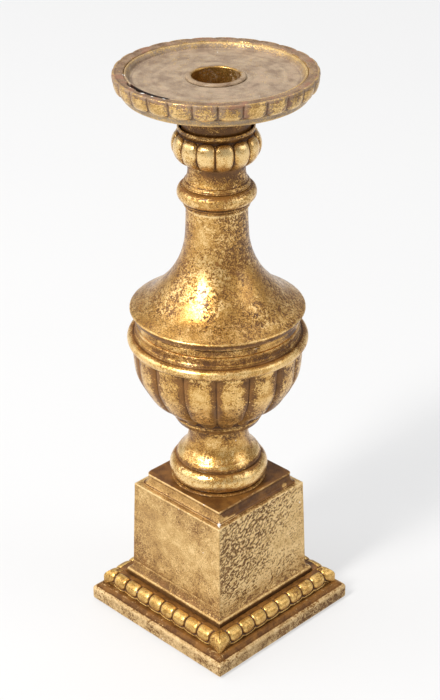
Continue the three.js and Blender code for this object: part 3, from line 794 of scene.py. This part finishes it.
def plinth_slab():
    low, high = span("plinth_slab")
    half = half_side("plinth_slab") + SLAB_SPREAD
    recess_top = low + 9
    outline = softened([
        *lifted(low, (12.2, 0), (half - 0.3, 0), (half, 0.6)),
        *lifted(high - 2.5, (half, -1.0), (half - 1.2, 0), (LEDGE_HALF + 1.0, 0.1), (LEDGE_HALF, 1.3)),
        *lifted(high, (LEDGE_HALF - 1.0, -0.2), (LEDGE_HALF - 2.0, 0), (14, 0)),
    ], 0.9)
    hidden = [(BORE, high), (BORE, recess_top), (NUT_RECESS, recess_top)]
    shape = squared(outline, 110, (1.8, 0.8, 2.2, 2.0), hidden)

    def paint(points, normals):
        on_top = rise(half - reach_of(points), 1.7, 2.3) * rise(points[:, 2], low + 4, low + 5)
        return 0.14 - 0.1 * on_right(points, 3) - 0.75 * on_top

    cuts = [screw_cutter(f"slab_screw_{number}") for number in (1, 2, 3, 4)]
    finish_piece("slab", shape, "plinth_slab", MATTE, slab_gilt, 100, rough=0.22, wear=0.18,
                 gild=paint, cuts=cuts)


def tongue_relief(x, slide, distance, reach):
    """Carving of a gadroon strip: how far it stands out from its recess, in mm. x runs along the strip,
    slide is where its row of tongues is centred, distance runs up over its section and reach is how far
    out that is."""
    corner = np.abs(x - slide) >= TONGUE_RUN
    inside = ((x - slide) / TONGUE_PITCH) % 1
    across = np.where(corner, reach - np.abs(x), (2 * inside - 1) * TONGUE_PITCH / 2)
    leaf_width = np.maximum(reach - TONGUE_RUN - slide * np.sign(x) - 0.3, 0.6)
    leaf_width = leaf_width * (0.04 + 0.96 * rise(distance, -1.0, 5.5) ** 0.6)
    width = np.where(corner, leaf_width, TONGUE_PITCH / 2 - 0.36)
    low = np.where(corner, -9.0, 2.0)
    share = lobe_share(across, distance, width, low, 60, 2.7, 4.0)
    fillet = near(share - 1.3, 0.12) * ~corner
    fillet_at_leaf = near(share - 1.2, 0.08) * corner * (1 - rise(distance, 6, 8))
    carved = 1.4 * dome(share, 4.5) + 0.85 * fillet + 0.85 * fillet_at_leaf - 1.4
    return carved * (1 - 0.85 * rise(distance, 13.0, 14.6)) - 0.25 * rise(distance, 12.9, 13.3)


def gadroon_strip(side, quarter_turns, slide):
    """A mitred strip carved with tongues over a thin scalloped fillet. It is made for the -Y side."""
    node = f"gadroon_strip_{side}"
    base, crown = span(node)
    radius = (crown - base) / 2
    centre = half_side("plinth_slab") - 9.6
    middle = base + radius
    outer = centre + radius
    inner = 41.7
    mitre_gap = 0.06
    section = walk([(outer, base), *arc((centre, middle), (radius, radius), 0, 104, 20),
                    *lifted(crown, (43.9, -0.4), (42.5, -0.7), (41.8, -1.5))], 0.5)
    normals, distance = outward(section)
    starts = [(i - TONGUES_PER_SIDE / 2) * TONGUE_PITCH + slide for i in range(TONGUES_PER_SIDE)]
    tongues = np.concatenate([start + TONGUE_PITCH * (crowded(22) + 1) / 2 for start in starts])
    before, after = (np.linspace(TONGUE_RUN + way * slide, outer + 2, 26) for way in (-1, 1))
    along = np.concatenate([-before[:0:-1], tongues, after])

    x, distance = np.meshgrid(along, distance)
    y = np.repeat(section[:, :1], len(along), 1)
    z = np.repeat(section[:, 1:], len(along), 1)
    offset = tongue_relief(x, slide, distance, y)
    y, z = y + offset * normals[:, :1], z + offset * normals[:, 1:]
    z = np.maximum(z, base)
    for inner_z in (crown - 3.0, base):
        x, y, z = with_row(x, along), with_row(y, inner), with_row(z, inner_z)
    x = np.clip(x, mitre_gap - y, y - mitre_gap)
    for _ in range(quarter_turns):
        x, y = y, -x
    points = np.stack([x, -y, z], -1)
    rows, columns = x.shape
    faces = grid_faces(rows, columns, closed_columns=False)
    faces.append(tuple(row * columns for row in range(rows)))
    faces.append(tuple(row * columns + columns - 1 for row in reversed(range(rows))))

    def paint(places, normals):
        reach = reach_of(places) - centre
        rising = places[:, 2] - middle
        depth = np.where(rising > 0, radius - np.hypot(reach, rising), radius - reach)
        on_tongue = 1 - rise(depth, 0.5, 1.0)
        angle = np.degrees(np.arctan2(rising, reach)) + 5 * cloud(places, 3.0, 17, 2)
        on_leaf = rise(np.minimum(np.abs(places[:, 0]), np.abs(places[:, 1])), 43.2, 43.8)
        back = rise(angle, 97, 103) * (1 - 0.8 * on_leaf)
        return 0.24 * on_tongue - 0.5 * (1 - on_tongue) - 0.9 * back

    finish_piece(f"gadroons_{side}", (points.reshape(-1, 3), faces), node, BURNISHED, tongue_gilt,
                 120 + quarter_turns, rough=0.14, wear=0.03, gild=paint)


def die_base():
    low, high = span("die_base")
    foot = half_side("die_base")
    hollow = arc((foot - 0.8, high), (foot - 0.8 - DIE_FOOT_HALF, high - low - 2.3), 268, 182)
    fillet = lifted(low, (foot - 1.0, 0), (foot - 0.1, 0.3), (foot, 1.0), (foot - 0.3, 2.0))
    outline = [(20, low), *led_into(fillet, 0.4, hollow), (DIE_FOOT_HALF - 0.2, high), (20, high)]
    shape = squared(outline, 96, (1.0, 0.4, 1.4, 1.2), bored(low, high))
    levels = level_paint(low, [(0, -0.7), (0.8, -0.5), (1.3, 0.12), (2.1, 0.12), (2.8, -0.2),
                               (4.5, -0.14)], high, [(-1.5, -0.1), (0, -0.4)])

    def paint(points, normals):
        above = rise(points[:, 2], low + 2.4, low + 3.2)
        return levels(points, normals) + on_right(points, 1.5) * above * (0.6 * crackle(points) - 0.3)

    finish_piece("die_foot", shape, "die_base", MATTE, die_gilt, 140, rough=0.14, wear=0.2, gild=paint)


def crackle(points):
    """Broken leaf on the rough sides of the die: 1 on a flake of leaf and 0 in the cracks."""
    slant = points.copy()
    slant[:, 1] = (points[:, 1] + points[:, 2] * 0.9) * 0.75
    slant[:, 2] = (points[:, 2] - points[:, 1] * 0.55) * 1.5
    bent = slant + 0.6 * np.stack([cloud(points, 3.0, 31 + k, 2) for k in (1, 2, 3)], 1)
    ridge = np.abs(cloud(bent, 2.3, 31, 3))
    wide = cloud(points, 18.0, 81, 3)
    corner = rise(points[:, 2] - points[:, 1] * 0.6, 40, 95)
    return rise(ridge + 0.13 * wide - 0.09 * corner, 0.0, 0.15)


def pedestal_die():
    low, high = span("pedestal_die")
    foot, head = DIE_FOOT_HALF, DIE_HEAD_HALF
    sunk = low - 0.4
    face = walk([(foot, low), (head, high)], 0.5).tolist()
    outline = [(20, sunk), (foot, sunk), *face, (head - 0.5, high), (20, high)]
    points, faces = squared(outline, 150, (0.5, 0.25, 0.5, 0.5), bored(low, high))

    def roughness(places):
        behind = rise(places[:, 1] - np.abs(places[:, 0]), 0, 1.5)
        return np.maximum(on_right(places, 1.5), 0.7 * behind)

    on_face = rise(reach_of(points), head - 1, head - 0.5)
    depth = 0.3 * roughness(points) * (1 - crackle(points)) * on_face
    inward = points * (1, 1, 0)
    inward /= np.linalg.norm(inward, axis=1, keepdims=True) + 1e-9
    points = points - inward * depth[:, None]

    def paint(places, normals):
        rough_side = roughness(places)
        streak = cloud(places * (1, 0.6, 2.2), 9.0, 77)
        low_edge = 1 - rise(places[:, 2], low - 6, low + 17)
        upper_left = rise(places[:, 2] * 0.8 - places[:, 0] - places[:, 1], 60, 110)
        mottle = 0.45 * cloud(places * (1, 1, 1.7), 26.0, 71, 3)
        soft = 0.22 - 0.42 * low_edge - 0.26 * upper_left + mottle
        flakes = 0.8 * crackle(places) - 0.36 + 0.2 * streak
        return rough_side * flakes + (1 - rough_side) * soft - 0.3 * near(places[:, 2] - low, 1.0)

    finish_piece("die", (points, faces), "pedestal_die", "gilt_wood_crackled", die_gilt, 150,
                 rough=0.1, wear=0.1, gild=paint)


def die_cap():
    low, high = span("die_cap")
    foot, head = half_side("die_cap"), CAP_HEAD_HALF
    hollow = arc((foot, high - 1.4), (foot - head, high - 2.2 - low), 266, 182)
    crown = softened(lifted(high, (head + 0.1, -1.5), (head + 0.25, -0.7), (head - 0.2, -0.1),
                            (head - 0.9, 0), (28, 0)), 0.4)
    outline = [(18, low), *led_into(lifted(low, (foot - 0.4, 0), (foot, 0.5)), 0.3, hollow), *crown,
               (18, high)]
    shape = squared(outline, 90, (4.2, 0.4, 2.6, 2.2), bored(low, high))

    def paint(points, normals):
        right = on_right(points, 3)
        flat = rise(normals[:, 2], 0.75, 0.95)
        arris = near(reach_of(points) - head, 0.5) * rise(points[:, 2], high - 1.5, high - 0.6)
        flaky = 0.9 * rise(cloud(points, 8.0, 55, 3), -0.05, 0.3)
        flaky = flaky * (1 - rise(points[:, 2], low + 3, low + 6.5))
        side = 0.16 * (1 - right) + (flaky - 0.5) * right
        return side * (1 - flat) - 0.75 * flat + 0.35 * arris

    finish_piece("die_crown", shape, "die_cap", MATTE, cap_gilt, 160, rough=0.16, wear=0.2, gild=paint)


# ---- Turned stem ----

def foot_ring():
    low, high = span("foot_ring")
    fillet = softened(lifted(low, (28.4, 0), (29.0, 0.2), (28.9, 0.9), (28.0, 1.3)), 0.35)
    crown = softened(lifted(high, (25.6, -0.9), (25.0, -0.5), (24.9, 0)), 0.3)
    outline = [*fillet, *arc((23.5, low + 7.9), (6.5, 7.0), -64, 62, 20), *crown]
    paint = level_paint(low, [(0, -0.55), (1.6, -0.4), (4, -0.05), (7, 0.25), (11, 0.22)],
                        high, [(-2, -0.1), (-1, -0.6)])
    finish_turned("foot_round", outline, 220, "foot_ring", BURNISHED, bright_gilt, 200, gild=paint)


def foot_bell():
    low, high = span("foot_bell")
    sweep = smooth([*lifted(low, (25.3, 2.1), (24.3, 3.7), (22.5, 5.4), (20.2, 8.5), (18.9, 11.7),
                            (18.3, 15), (18.3, 20)), (18.6, high)])
    outline = led_into(lifted(low, (24.6, 0), (25.6, 0.3), (25.9, 0.9), (25.8, 1.5)), 0.4, sweep)
    paint = level_paint(low, [(0, -0.6), (1.6, -0.45), (2.6, 0.1), (5, 0.3), (12, 0.1)],
                        high, [(-7, -0.05), (0, -0.4)])
    finish_turned("foot_sweep", outline, 200, "foot_bell", BURNISHED, bright_gilt, 210, gild=paint)


def gadrooned_bowl():
    low, high = span("gadrooned_bowl")
    band = low + 4.2
    groove_depth = 1.5
    side = smooth([*lifted(band, (28.3, 0.7), (31.1, 5.3), (37, 9.5), (42, 14.7), (47.6, 25),
                           (49.6, 32.3)), (50.8, high)], 12)
    foot = softened([*lifted(low, (25.2, 0), (25.8, 0.1), (26.1, 0.8)),
                     *lifted(band, (27.7, -0.5), (27.7, -0.1), (27.2, 0.3)), side[0]], 0.4)[:-1]
    start = outward(walk([*foot, side[0]]))[1][-1]
    lobes = lobes_round(*BOWL_LOBES, start - 0.4, 90, groove_depth, 3.0, 2.2, 0.5, 7.0)

    def carved(angle, run, radius, height):
        return (lobes(angle, run, radius, height) - groove_depth) * rise(run, start - 0.4, start + 1.5)

    middles = middle_of_lobes(*BOWL_LOBES, 0.22, 0.62)
    levels = level_paint(band, [(-4.2, 0.1), (-3.2, -0.3), (-1, -0.1), (0, 0.3), (0.6, -0.5),
                                (6, -0.34), (14, -0.16)], high, [(-20, 0.06), (-9, 0.0), (-3, -0.3)])

    def paint(points, normals):
        on_lobes = rise(points[:, 2], band + 1, band + 6)
        blotches = 0.3 * cloud(points, 14.0, 5)
        return levels(points, normals) + on_lobes * (middles(points, normals) + blotches)

    turn = lobe_turn(*BOWL_LOBES, 24)
    finish_piece("bowl", turned([*foot, *side], turn, carved, bored(low, high)), "gadrooned_bowl",
                 BURNISHED, bowl_gilt, 220, rough=0.14, wear=0.04, gild=paint)


def bowl_rim():
    low, high = span("bowl_rim")
    radius = 3.25
    roll = arc((half_side("bowl_rim") - radius, low + radius), (radius, radius), -90, 84, 18)
    crown = softened([*lifted(low, (50.0, 6.1), (49.2, 6.2), (48.9, 6.6)), (48.9, high)], 0.3)
    paint = level_paint(low, [(0, -0.3), (1.5, 0.15), (5.6, 0.2), (6.3, -0.4)])
    finish_turned("bowl_roll", [(48.5, low), *roll, *crown], 340, "bowl_rim", BURNISHED, rim_gilt, 230,
                  rough=0.1, gild=paint)


def ring_paint(seed, amount):
    """Leaf left in long patches round a ring."""
    def paint(points, normals):
        return amount * cloud(points * (1, 1, 2.5), 16.0, seed, 3) - 0.18
    return paint


def stacked_rings():
    low, high = span("lower_ring")
    outline = softened([*lifted(low, (48.7, 0), (49.0, 0.2), (49.0, 0.9), (48.3, 1.3), (48.1, 2.4)),
                        *lifted(high, (48.5, -0.9), (48.2, -0.3), (46.8, 0))], 0.35)
    finish_turned("ring_lower", outline, 320, "lower_ring", MATTE, ring_gilt, 240, rough=0.1, wear=0.12,
                  gild=ring_paint(41, 0.5))
    low, high = span("upper_ring")
    outline = softened([*lifted(low, (46.8, 0), (47.9, 0.4), (48.0, 1.2), (47.9, 3.8), (47.5, 4.3),
                                (47.9, 4.8)), (47.9, high)], 0.35)
    finish_turned("ring_upper", outline, 320, "upper_ring", MATTE, ring_gilt, 250, rough=0.1, wear=0.12,
                  gild=ring_paint(43, 0.9))


def shoulder_bell():
    low, high = span("shoulder_bell")
    shoulder = low + 4.4
    sweep = smooth([*lifted(shoulder, (51.4, 0.1), (47.7, 2.4), (40.9, 6.6), (34.9, 12.2), (28.4, 19.5),
                            (23.4, 27.8), (20.2, 36.1), (18.6, 44.3), (18, 54.7)), (17.8, high)])
    lip_points = lifted(low, (49.5, 0), (49.9, 0.4), (50.6, 2.5), (51.3, 3.1), (51.7, 3.9))

    def paint(points, normals):
        lip = 1 - rise(points[:, 2], shoulder - 1.2, shoulder)
        edge = rise(points[:, 2], shoulder, shoulder + 3)
        # painted shade: slightly less leaf on the right side, away from the lights
        right = rise(points[:, 0] + points[:, 1], 10, 60)
        neck = rise(points[:, 2], high - 16, high - 3)
        # painted highlight: more leaf in a band up the left of the neck, where the light's reflection runs,
        # and less leaf round the rest of the shaft as painted shade
        highlight_band = near(np.degrees(polar(points)[1]) + 66, 24)
        shaft = rise(points[:, 2], shoulder + 10, shoulder + 30)
        painted_light_and_shade = shaft * (0.42 * highlight_band - 0.16)
        return 0.1 * edge - 0.35 * lip - 0.04 * right - 0.06 * neck + painted_light_and_shade

    finish_turned("bell", led_into(lip_points, 0.5, sweep), 340, "shoulder_bell", BURNISHED, bell_gilt,
                  260, rough=0.14, wear=0.15, gild=paint)


def neck_ring():
    low, high = span("neck_ring")
    recess_floor = low + 2.4
    fillet = softened(lifted(low, (18.4, 0), (19.0, 0.1), (19.2, 0.9), (18.9, 1.3), (20.0, 2.3),
                             (20.1, 3.0), (19.6, 3.4)), 0.3)
    crown = softened(lifted(high, (20.4, -0.35), (19.9, -0.1), (19.0, 0)), 0.2)
    outline = [*fillet, *arc((19.2, low + 7.8), (3.6, 4.4), -74, 66, 18), *crown]
    paint = level_paint(low, [(0, -0.2), (2, 0.05), (3.3, -0.55), (5, 0.15), (10, 0.1)],
                        high, [(0, -0.5)])
    hidden = [(NUT_RECESS, high), (NUT_RECESS, recess_floor), *bored(low, recess_floor)]
    finish_turned("neck_roll", outline, 180, "neck_ring", BURNISHED, neck_gilt, 270, hidden,
                  rough=0.1, wear=0.14, gild=paint)


def scotia_collar():
    low, high = span("scotia_collar")
    hollow = smooth([*lifted(low, (17.9, 3.2), (16.9, 5.9), (16.5, 9.5)), (16.9, high)], 12)
    fillets = lifted(low, (18.6, 0), (19.2, 0.3), (19.2, 0.9), (18.8, 1.2), (19.1, 1.5), (19.0, 2.1),
                     (18.6, 2.4), (18.7, 2.8))
    paint = level_paint(low, [(0, -0.5), (1, 0.05), (5, 0.1)], high, [(-4, -0.15), (0, -0.6)])
    hidden = [(SOCKET, high), *lifted(low, (SOCKET, 4), (0.01, 4), (0.01, 0))]
    finish_turned("scotia", led_into(fillets, 0.25, hollow), 160, "scotia_collar", MATTE, scotia_gilt,
                  280, hidden, rough=0.1, wear=0.12, gild=paint)


def gadrooned_knop():
    low, high = span("gadrooned_knop")
    lobe_rise = 1.8
    body = arc((14, low + 10.6), (11.5 - lobe_rise, 11.3 - lobe_rise), -66, 46, 26)
    lip = softened([body[-1], (21.3, low + 18.8), *lifted(high, (22.0, -1.8), (21.9, -0.4), (21.4, 0),
                                                          (21.1, 0), (20.9, -0.6))], 0.5)
    outline = [(16.6, low), *body, *lip[1:]]
    end = outward(walk([(16.6, low), *body]))[1][-1]
    lobes = lobes_round(*KNOP_LOBES, 0.2, end - 0.2, lobe_rise, 3.2, 3.0, 0.5, 4.2)

    middles = middle_of_lobes(*KNOP_LOBES, 0.22, 0.3)
    levels = level_paint(low, [(0, -0.5), (3, -0.22), (7, 0.0), (11, 0.2), (16, 0.12), (18.5, -0.25)],
                         high, [(-1.5, -0.05), (0, 0.1)])

    def paint(points, normals):
        return levels(points, normals) + middles(points, normals) * rise(low + 17.5 - points[:, 2], 0, 2)

    recess = high - KNOP_RECESS_DEPTH
    turn = lobe_turn(*KNOP_LOBES, 22)
    shape = turned(outline, turn, lobes, [(20.3, recess), (SOCKET, recess), (SOCKET, low)])
    finish_piece("knop", shape, "gadrooned_knop", BURNISHED, knop_gilt, 290, rough=0.12, wear=0.04,
                 gild=paint)


# ---- Drip pan and candle cup ----

def pan_stem():
    low, high = span("pan_stem")
    recess = span("gadrooned_knop")[1] - KNOP_RECESS_DEPTH
    spigot = 10
    flare = smooth([*lifted(recess, (19.5, 1.6), (19.6, 4.5), (19.8, 10), (20.9, 16)), (24, high)])
    corners = [(8.8, low), (spigot, low + 1.2), (spigot, recess), (19.0, recess)]
    paint = level_paint(recess, [(3, -0.6), (8, -0.2)], high, [(-3, -0.05), (0, -0.3)])
    cup_floor = span("candle_cup")[0] - CLEARANCE
    finish_turned("pan_neck", [(0, low), *led_into(corners, 0.5, flare)], 180, "pan_stem", MATTE,
                  scotia_gilt, 300, [(CUP_POCKET, high), (CUP_POCKET, cup_floor), (0, cup_floor)],
                  rough=0.08, wear=0.1, gild=paint)


def beside_crack(angle):
    """1 along the open crack between the bead and the rim, and 0 elsewhere."""
    degrees = (np.degrees(angle) + 180) % 360 - 180
    start, end = CRACK
    return rise(degrees, start - 3, start + 4) * (1 - rise(degrees, end - 4, end + 3))


def crack_opened(shape, fixed, edge, above, by):
    """The shape with the points between two radii drawn away from the crack, by up to the given mm at
    its edge."""
    points, faces = shape
    radius, angle = polar(points)
    share = np.clip((radius - fixed) / (edge - fixed), 0, 1) * rise(points[:, 2], above, above + 1)
    ragged = 0.75 + 0.9 * cloud(points * (1, 1, 0.2), 5.0, 68, 3)
    drawn = 1 + by * share * ragged * beside_crack(angle) / np.maximum(radius, 1)
    return points * np.stack([drawn, drawn, np.ones(len(drawn))], 1), faces


def pan_dish():
    low, high = span("pan_dish")
    floor_level = low + 9.9
    rim_level = span("pan_rim")[0]
    rebate = half_side("candle_cup") + CLEARANCE
    outline = softened([
        *lifted(low, (24, 0), (50.9, 0), (51.7, 0.6)),
        *lifted(rim_level, (53.4, -0.05), (53.2, 0.1), (50.7, 0), (50.5, 0.5)),
        *lifted(high, (50.5, -0.5), (50.2, -0.05), (49.5, 0), (48.7, -0.8), (48.2, -1.6)),
        *lifted(floor_level, (47.7, 0.4), (46.8, 0), (rebate + 1.1, 0), (rebate + 0.4, -0.3),
                (rebate, -0.4)),
    ], 0.45)

    def carved(angle, run, radius, height):
        swirl_place = np.stack([radius.ravel() * 2.2, angle.ravel() * 6.0, height.ravel() * 0], 1)
        places = np.stack([radius * np.cos(angle), radius * np.sin(angle), height], -1).reshape(-1, 3)
        waves = 0.14 * cloud(swirl_place, 7.0, 61, 2) + 0.10 * cloud(places, 12.0, 62) - 0.1
        on_floor = (height > floor_level - 0.2) * (radius < 46.5) * (radius > rebate + 0.8)
        return waves.reshape(radius.shape) * on_floor

    def paint(points, normals):
        radius, angle = polar(points)
        height = points[:, 2]
        band = 1 - rise(height, rim_level - 0.6, rim_level)
        arris = near(height - low - 0.5, 0.7) * rise(radius, 48, 51)
        on_floor = (1 - rise(radius, 46.5, 47.5)) * rise(height, floor_level - 1, floor_level - 0.5)
        bead = rise(radius, 47.0, 48.4) * rise(height, floor_level + 0.2, floor_level + 1.4)
        # painted highlight: more leaf on the bead and its crest towards the back right, where the light's
        # reflection falls; the front stays browner
        behind = 0.5 + 0.5 * np.sin(angle)
        crest = near(height - high + 0.3, 0.45) * rise(radius, 48.2, 48.8)
        side = 0.5 * arris - 0.12 * band + (0.2 * behind - 0.22) * bead + (0.15 + 0.25 * behind) * crest
        groove = 1 - rise(radius, rebate + 0.7, rebate + 1.5)
        # painted shade: inside the open crack gild is pushed far down, so it turns near black
        inside = rise(radius, 49.3, 49.8) * rise(height, rim_level - 0.2, rim_level + 0.2)
        return side - (0.34 + 0.6 * groove) * on_floor - 2.2 * beside_crack(angle) * inside

    shape = turned(outline, even_turn(340), carved, [(CUP_POCKET, floor_level - 0.4), (CUP_POCKET, low)])
    finish_piece("dish", crack_opened(shape, 47.4, 50.5, rim_level + 0.2, -0.5), "pan_dish", "pan_wood",
                 pan_gilt, 310, rough=0.06, wear=0.12, gild=paint)


def pan_rim():
    low, high = span("pan_rim")
    lobe_rise = 1.5
    valley = 57.0 - lobe_rise
    seam = 50.7
    outline = [
        *softened([*lifted(low, (50.9, 0), (53.2, 0), (53.8, 0.5), (54.7, 2.6), (valley, 5.0)),
                   *lifted(high, (valley + 0.3, -1.6), (valley + 0.9, -0.9), (valley + 0.9, -0.4),
                           (valley + 0.3, 0))], 0.5),
        *softened(lifted(high, (valley - 0.2, 0), (51.3, 0), (50.9, -0.15), (seam, -0.6)), 0.3),
    ]
    dense = walk(outline)
    run = outward(dense)[1]
    lip = run[np.argmax(dense[:, 1] > high - 0.7)]
    lobes = lobes_round(*PAN_LOBES, 2.6, lip + 6, lobe_rise, 2.6, 2.6, 0.7, 3.0)

    def carved(angle, run, radius, height):
        below_lip = 1 - 0.6 * rise(run, lip - 1.2, lip + 0.2) - 0.4 * rise(run, lip + 0.2, lip + 1.4)
        return lobes(angle, run, radius, height) * below_lip

    middles = middle_of_lobes(*PAN_LOBES, 0.25, 0.42)

    def paint(points, normals):
        radius, angle = polar(points)
        flat = rise(normals[:, 2], 0.6, 0.95)
        shoulder = rise(points[:, 2], high - 2.2, high - 0.9)
        side = middles(points, normals) - 0.1 - 0.4 * shoulder + 0.25 * cloud(points, 9.0, 65, 2)
        # painted shade: along the open crack gild is pushed far down, so it turns near black
        return (1 - flat) * side - 0.3 * flat - 2.2 * beside_crack(angle) * (1 - rise(radius, 52.5, 53.1))

    turn = lobe_turn(*PAN_LOBES, 20)
    shape = turned(outline, turn, carved, [(seam, high - 2), (seam, low + 0.5)])
    finish_piece("pan_gadroons", crack_opened(shape, 54.4, seam, low, 2.2), "pan_rim", "pan_wood",
                 pan_edge_gilt, 320, rough=0.12, wear=0.08, gild=paint)


def candle_cup():
    low, high = span("candle_cup")
    flange = half_side("candle_cup") - CLEARANCE
    seat = high - 1.5
    body, hole = 14.9, 13.5
    outline = softened([
        (0, low), (body, low), (body, seat), (flange - 0.2, seat), (flange, seat + 0.4),
        *lifted(high, (flange - 0.2, -0.5), (flange - 1.0, 0), (14.1, 0), (hole, -0.35), (hole, -1.5)),
        *lifted(low, (hole, 2.5), (12.5, 1.5), (0, 1.5)),
    ], 0.5)

    def paint(points, normals):
        radius = polar(points)[0]
        return 0.22 * rise(14.2 - radius, 0, 0.8) - 0.5 * rise(radius, 14.4, 15.4)

    finish_piece("cup", turned(outline, even_turn(200)), "candle_cup", "cup_brass", cup_gilt, 330,
                 rough=0.07, wear=0.08, gild=paint)


# ---- Everything together ----

bell_gilt = gilt("bell_gilt", 0.08, fleck=1.9, patches=1.0, flecks=2.7, threads=3.2, edge=0.08, coat=0.45)
bright_gilt = gilt("bright_gilt", 0.08, shine=0.28, fleck=1.8)
neck_gilt = gilt("neck_gilt", 0.04, flecks=2.4, edge=0.1)
knop_gilt = gilt("knop_gilt", 0.0, shine=0.28, coat=0.4)
scotia_gilt = gilt("scotia_gilt", -0.04, shine=0.34, flecks=2.3)
bowl_gilt = gilt("bowl_gilt", -0.02, shine=0.34, light=(0.86, 0.58, 0.23), fleck=1.7, flecks=2.4,
                 threads=3.0, edge=0.09)
rim_gilt = gilt("rim_gilt", -0.02, shine=0.38, fleck=1.1)
ring_gilt = gilt("ring_gilt", 0.18, shine=0.36, edge=0.09)
cap_gilt = gilt("cap_gilt", 0.08, shine=0.40, metal=0.6, patches=1.0, flecks=0.7, threads=0.7, edge=0.2,
                light=(0.76, 0.52, 0.24), gold=(0.55, 0.33, 0.11), deep=(0.37, 0.20, 0.06))
slab_gilt = gilt("slab_gilt", 0.06, shine=0.55, metal=0.35, light=(0.68, 0.49, 0.26),
                 gold=(0.53, 0.36, 0.165), deep=(0.38, 0.23, 0.09), fleck=2.2, edge=0.22, coat=0.05)
tongue_gilt = gilt("tongue_gilt", 0.02, shine=0.34, flecks=1.5, threads=1.6, gold=(0.52, 0.285, 0.065),
                   light=(0.78, 0.51, 0.17), deep=(0.36, 0.18, 0.035))
die_gilt = gilt("die_gilt", 0.12, shine=0.42, metal=0.6, patches=0.8, flecks=1.3, threads=1.2, edge=0.16,
                light=(0.84, 0.61, 0.30), gold=(0.61, 0.39, 0.145), deep=(0.42, 0.24, 0.08),
                bole=(0.265, 0.13, 0.042), dark=(0.14, 0.066, 0.022), coat=0.15)
pan_gilt = gilt("pan_gilt", 0.0, shine=0.42, metal=0.6, light=(0.78, 0.55, 0.25), gold=(0.56, 0.37, 0.15),
                deep=(0.42, 0.27, 0.12), bole=(0.405, 0.312, 0.215), dark=(0.215, 0.148, 0.100), red=0.12,
                coat=0.15, hollow=3.0, patches=0.6, flecks=1.8, threads=1.4, edge=0.18)
pan_edge_gilt = gilt("pan_edge_gilt", 0.0, shine=0.34, metal=0.75, light=(0.82, 0.57, 0.25),
                     gold=(0.57, 0.35, 0.11), deep=(0.38, 0.21, 0.06), bole=(0.31, 0.21, 0.13),
                     dark=(0.13, 0.07, 0.035), red=0.45, coat=0.25, hollow=3.0, patches=1.0, edge=0.15)
cup_gilt = gilt("cup_gilt", 0.0, shine=0.30, light=(0.72, 0.45, 0.14), gold=(0.48, 0.265, 0.06),
                deep=(0.28, 0.135, 0.028), bole=(0.36, 0.26, 0.165), dark=(0.15, 0.09, 0.05),
                flecks=1.4, threads=1.0)
felt = felt_material()

add_camera()
add_floor()
add_studio()

felt_pads()
plinth_slab()
for quarter, (side, slide) in enumerate((("front", -0.7), ("right", 0.7), ("back", -0.3), ("left", 0.4))):
    gadroon_strip(side, quarter, slide)
for make in (die_base, pedestal_die, die_cap, foot_ring, foot_bell, gadrooned_bowl, bowl_rim,
             stacked_rings, shoulder_bell, neck_ring, scotia_collar, gadrooned_knop, pan_stem, pan_dish,
             pan_rim, candle_cup):
    make()

steel = steel_material()
painted_core = painted_core_material()
for name, node in frame["nodes"].items():
    if node.hide_render:
        continue
    node.data.materials.clear()
    node.data.materials.append(painted_core if name == "plinth_core" else steel)
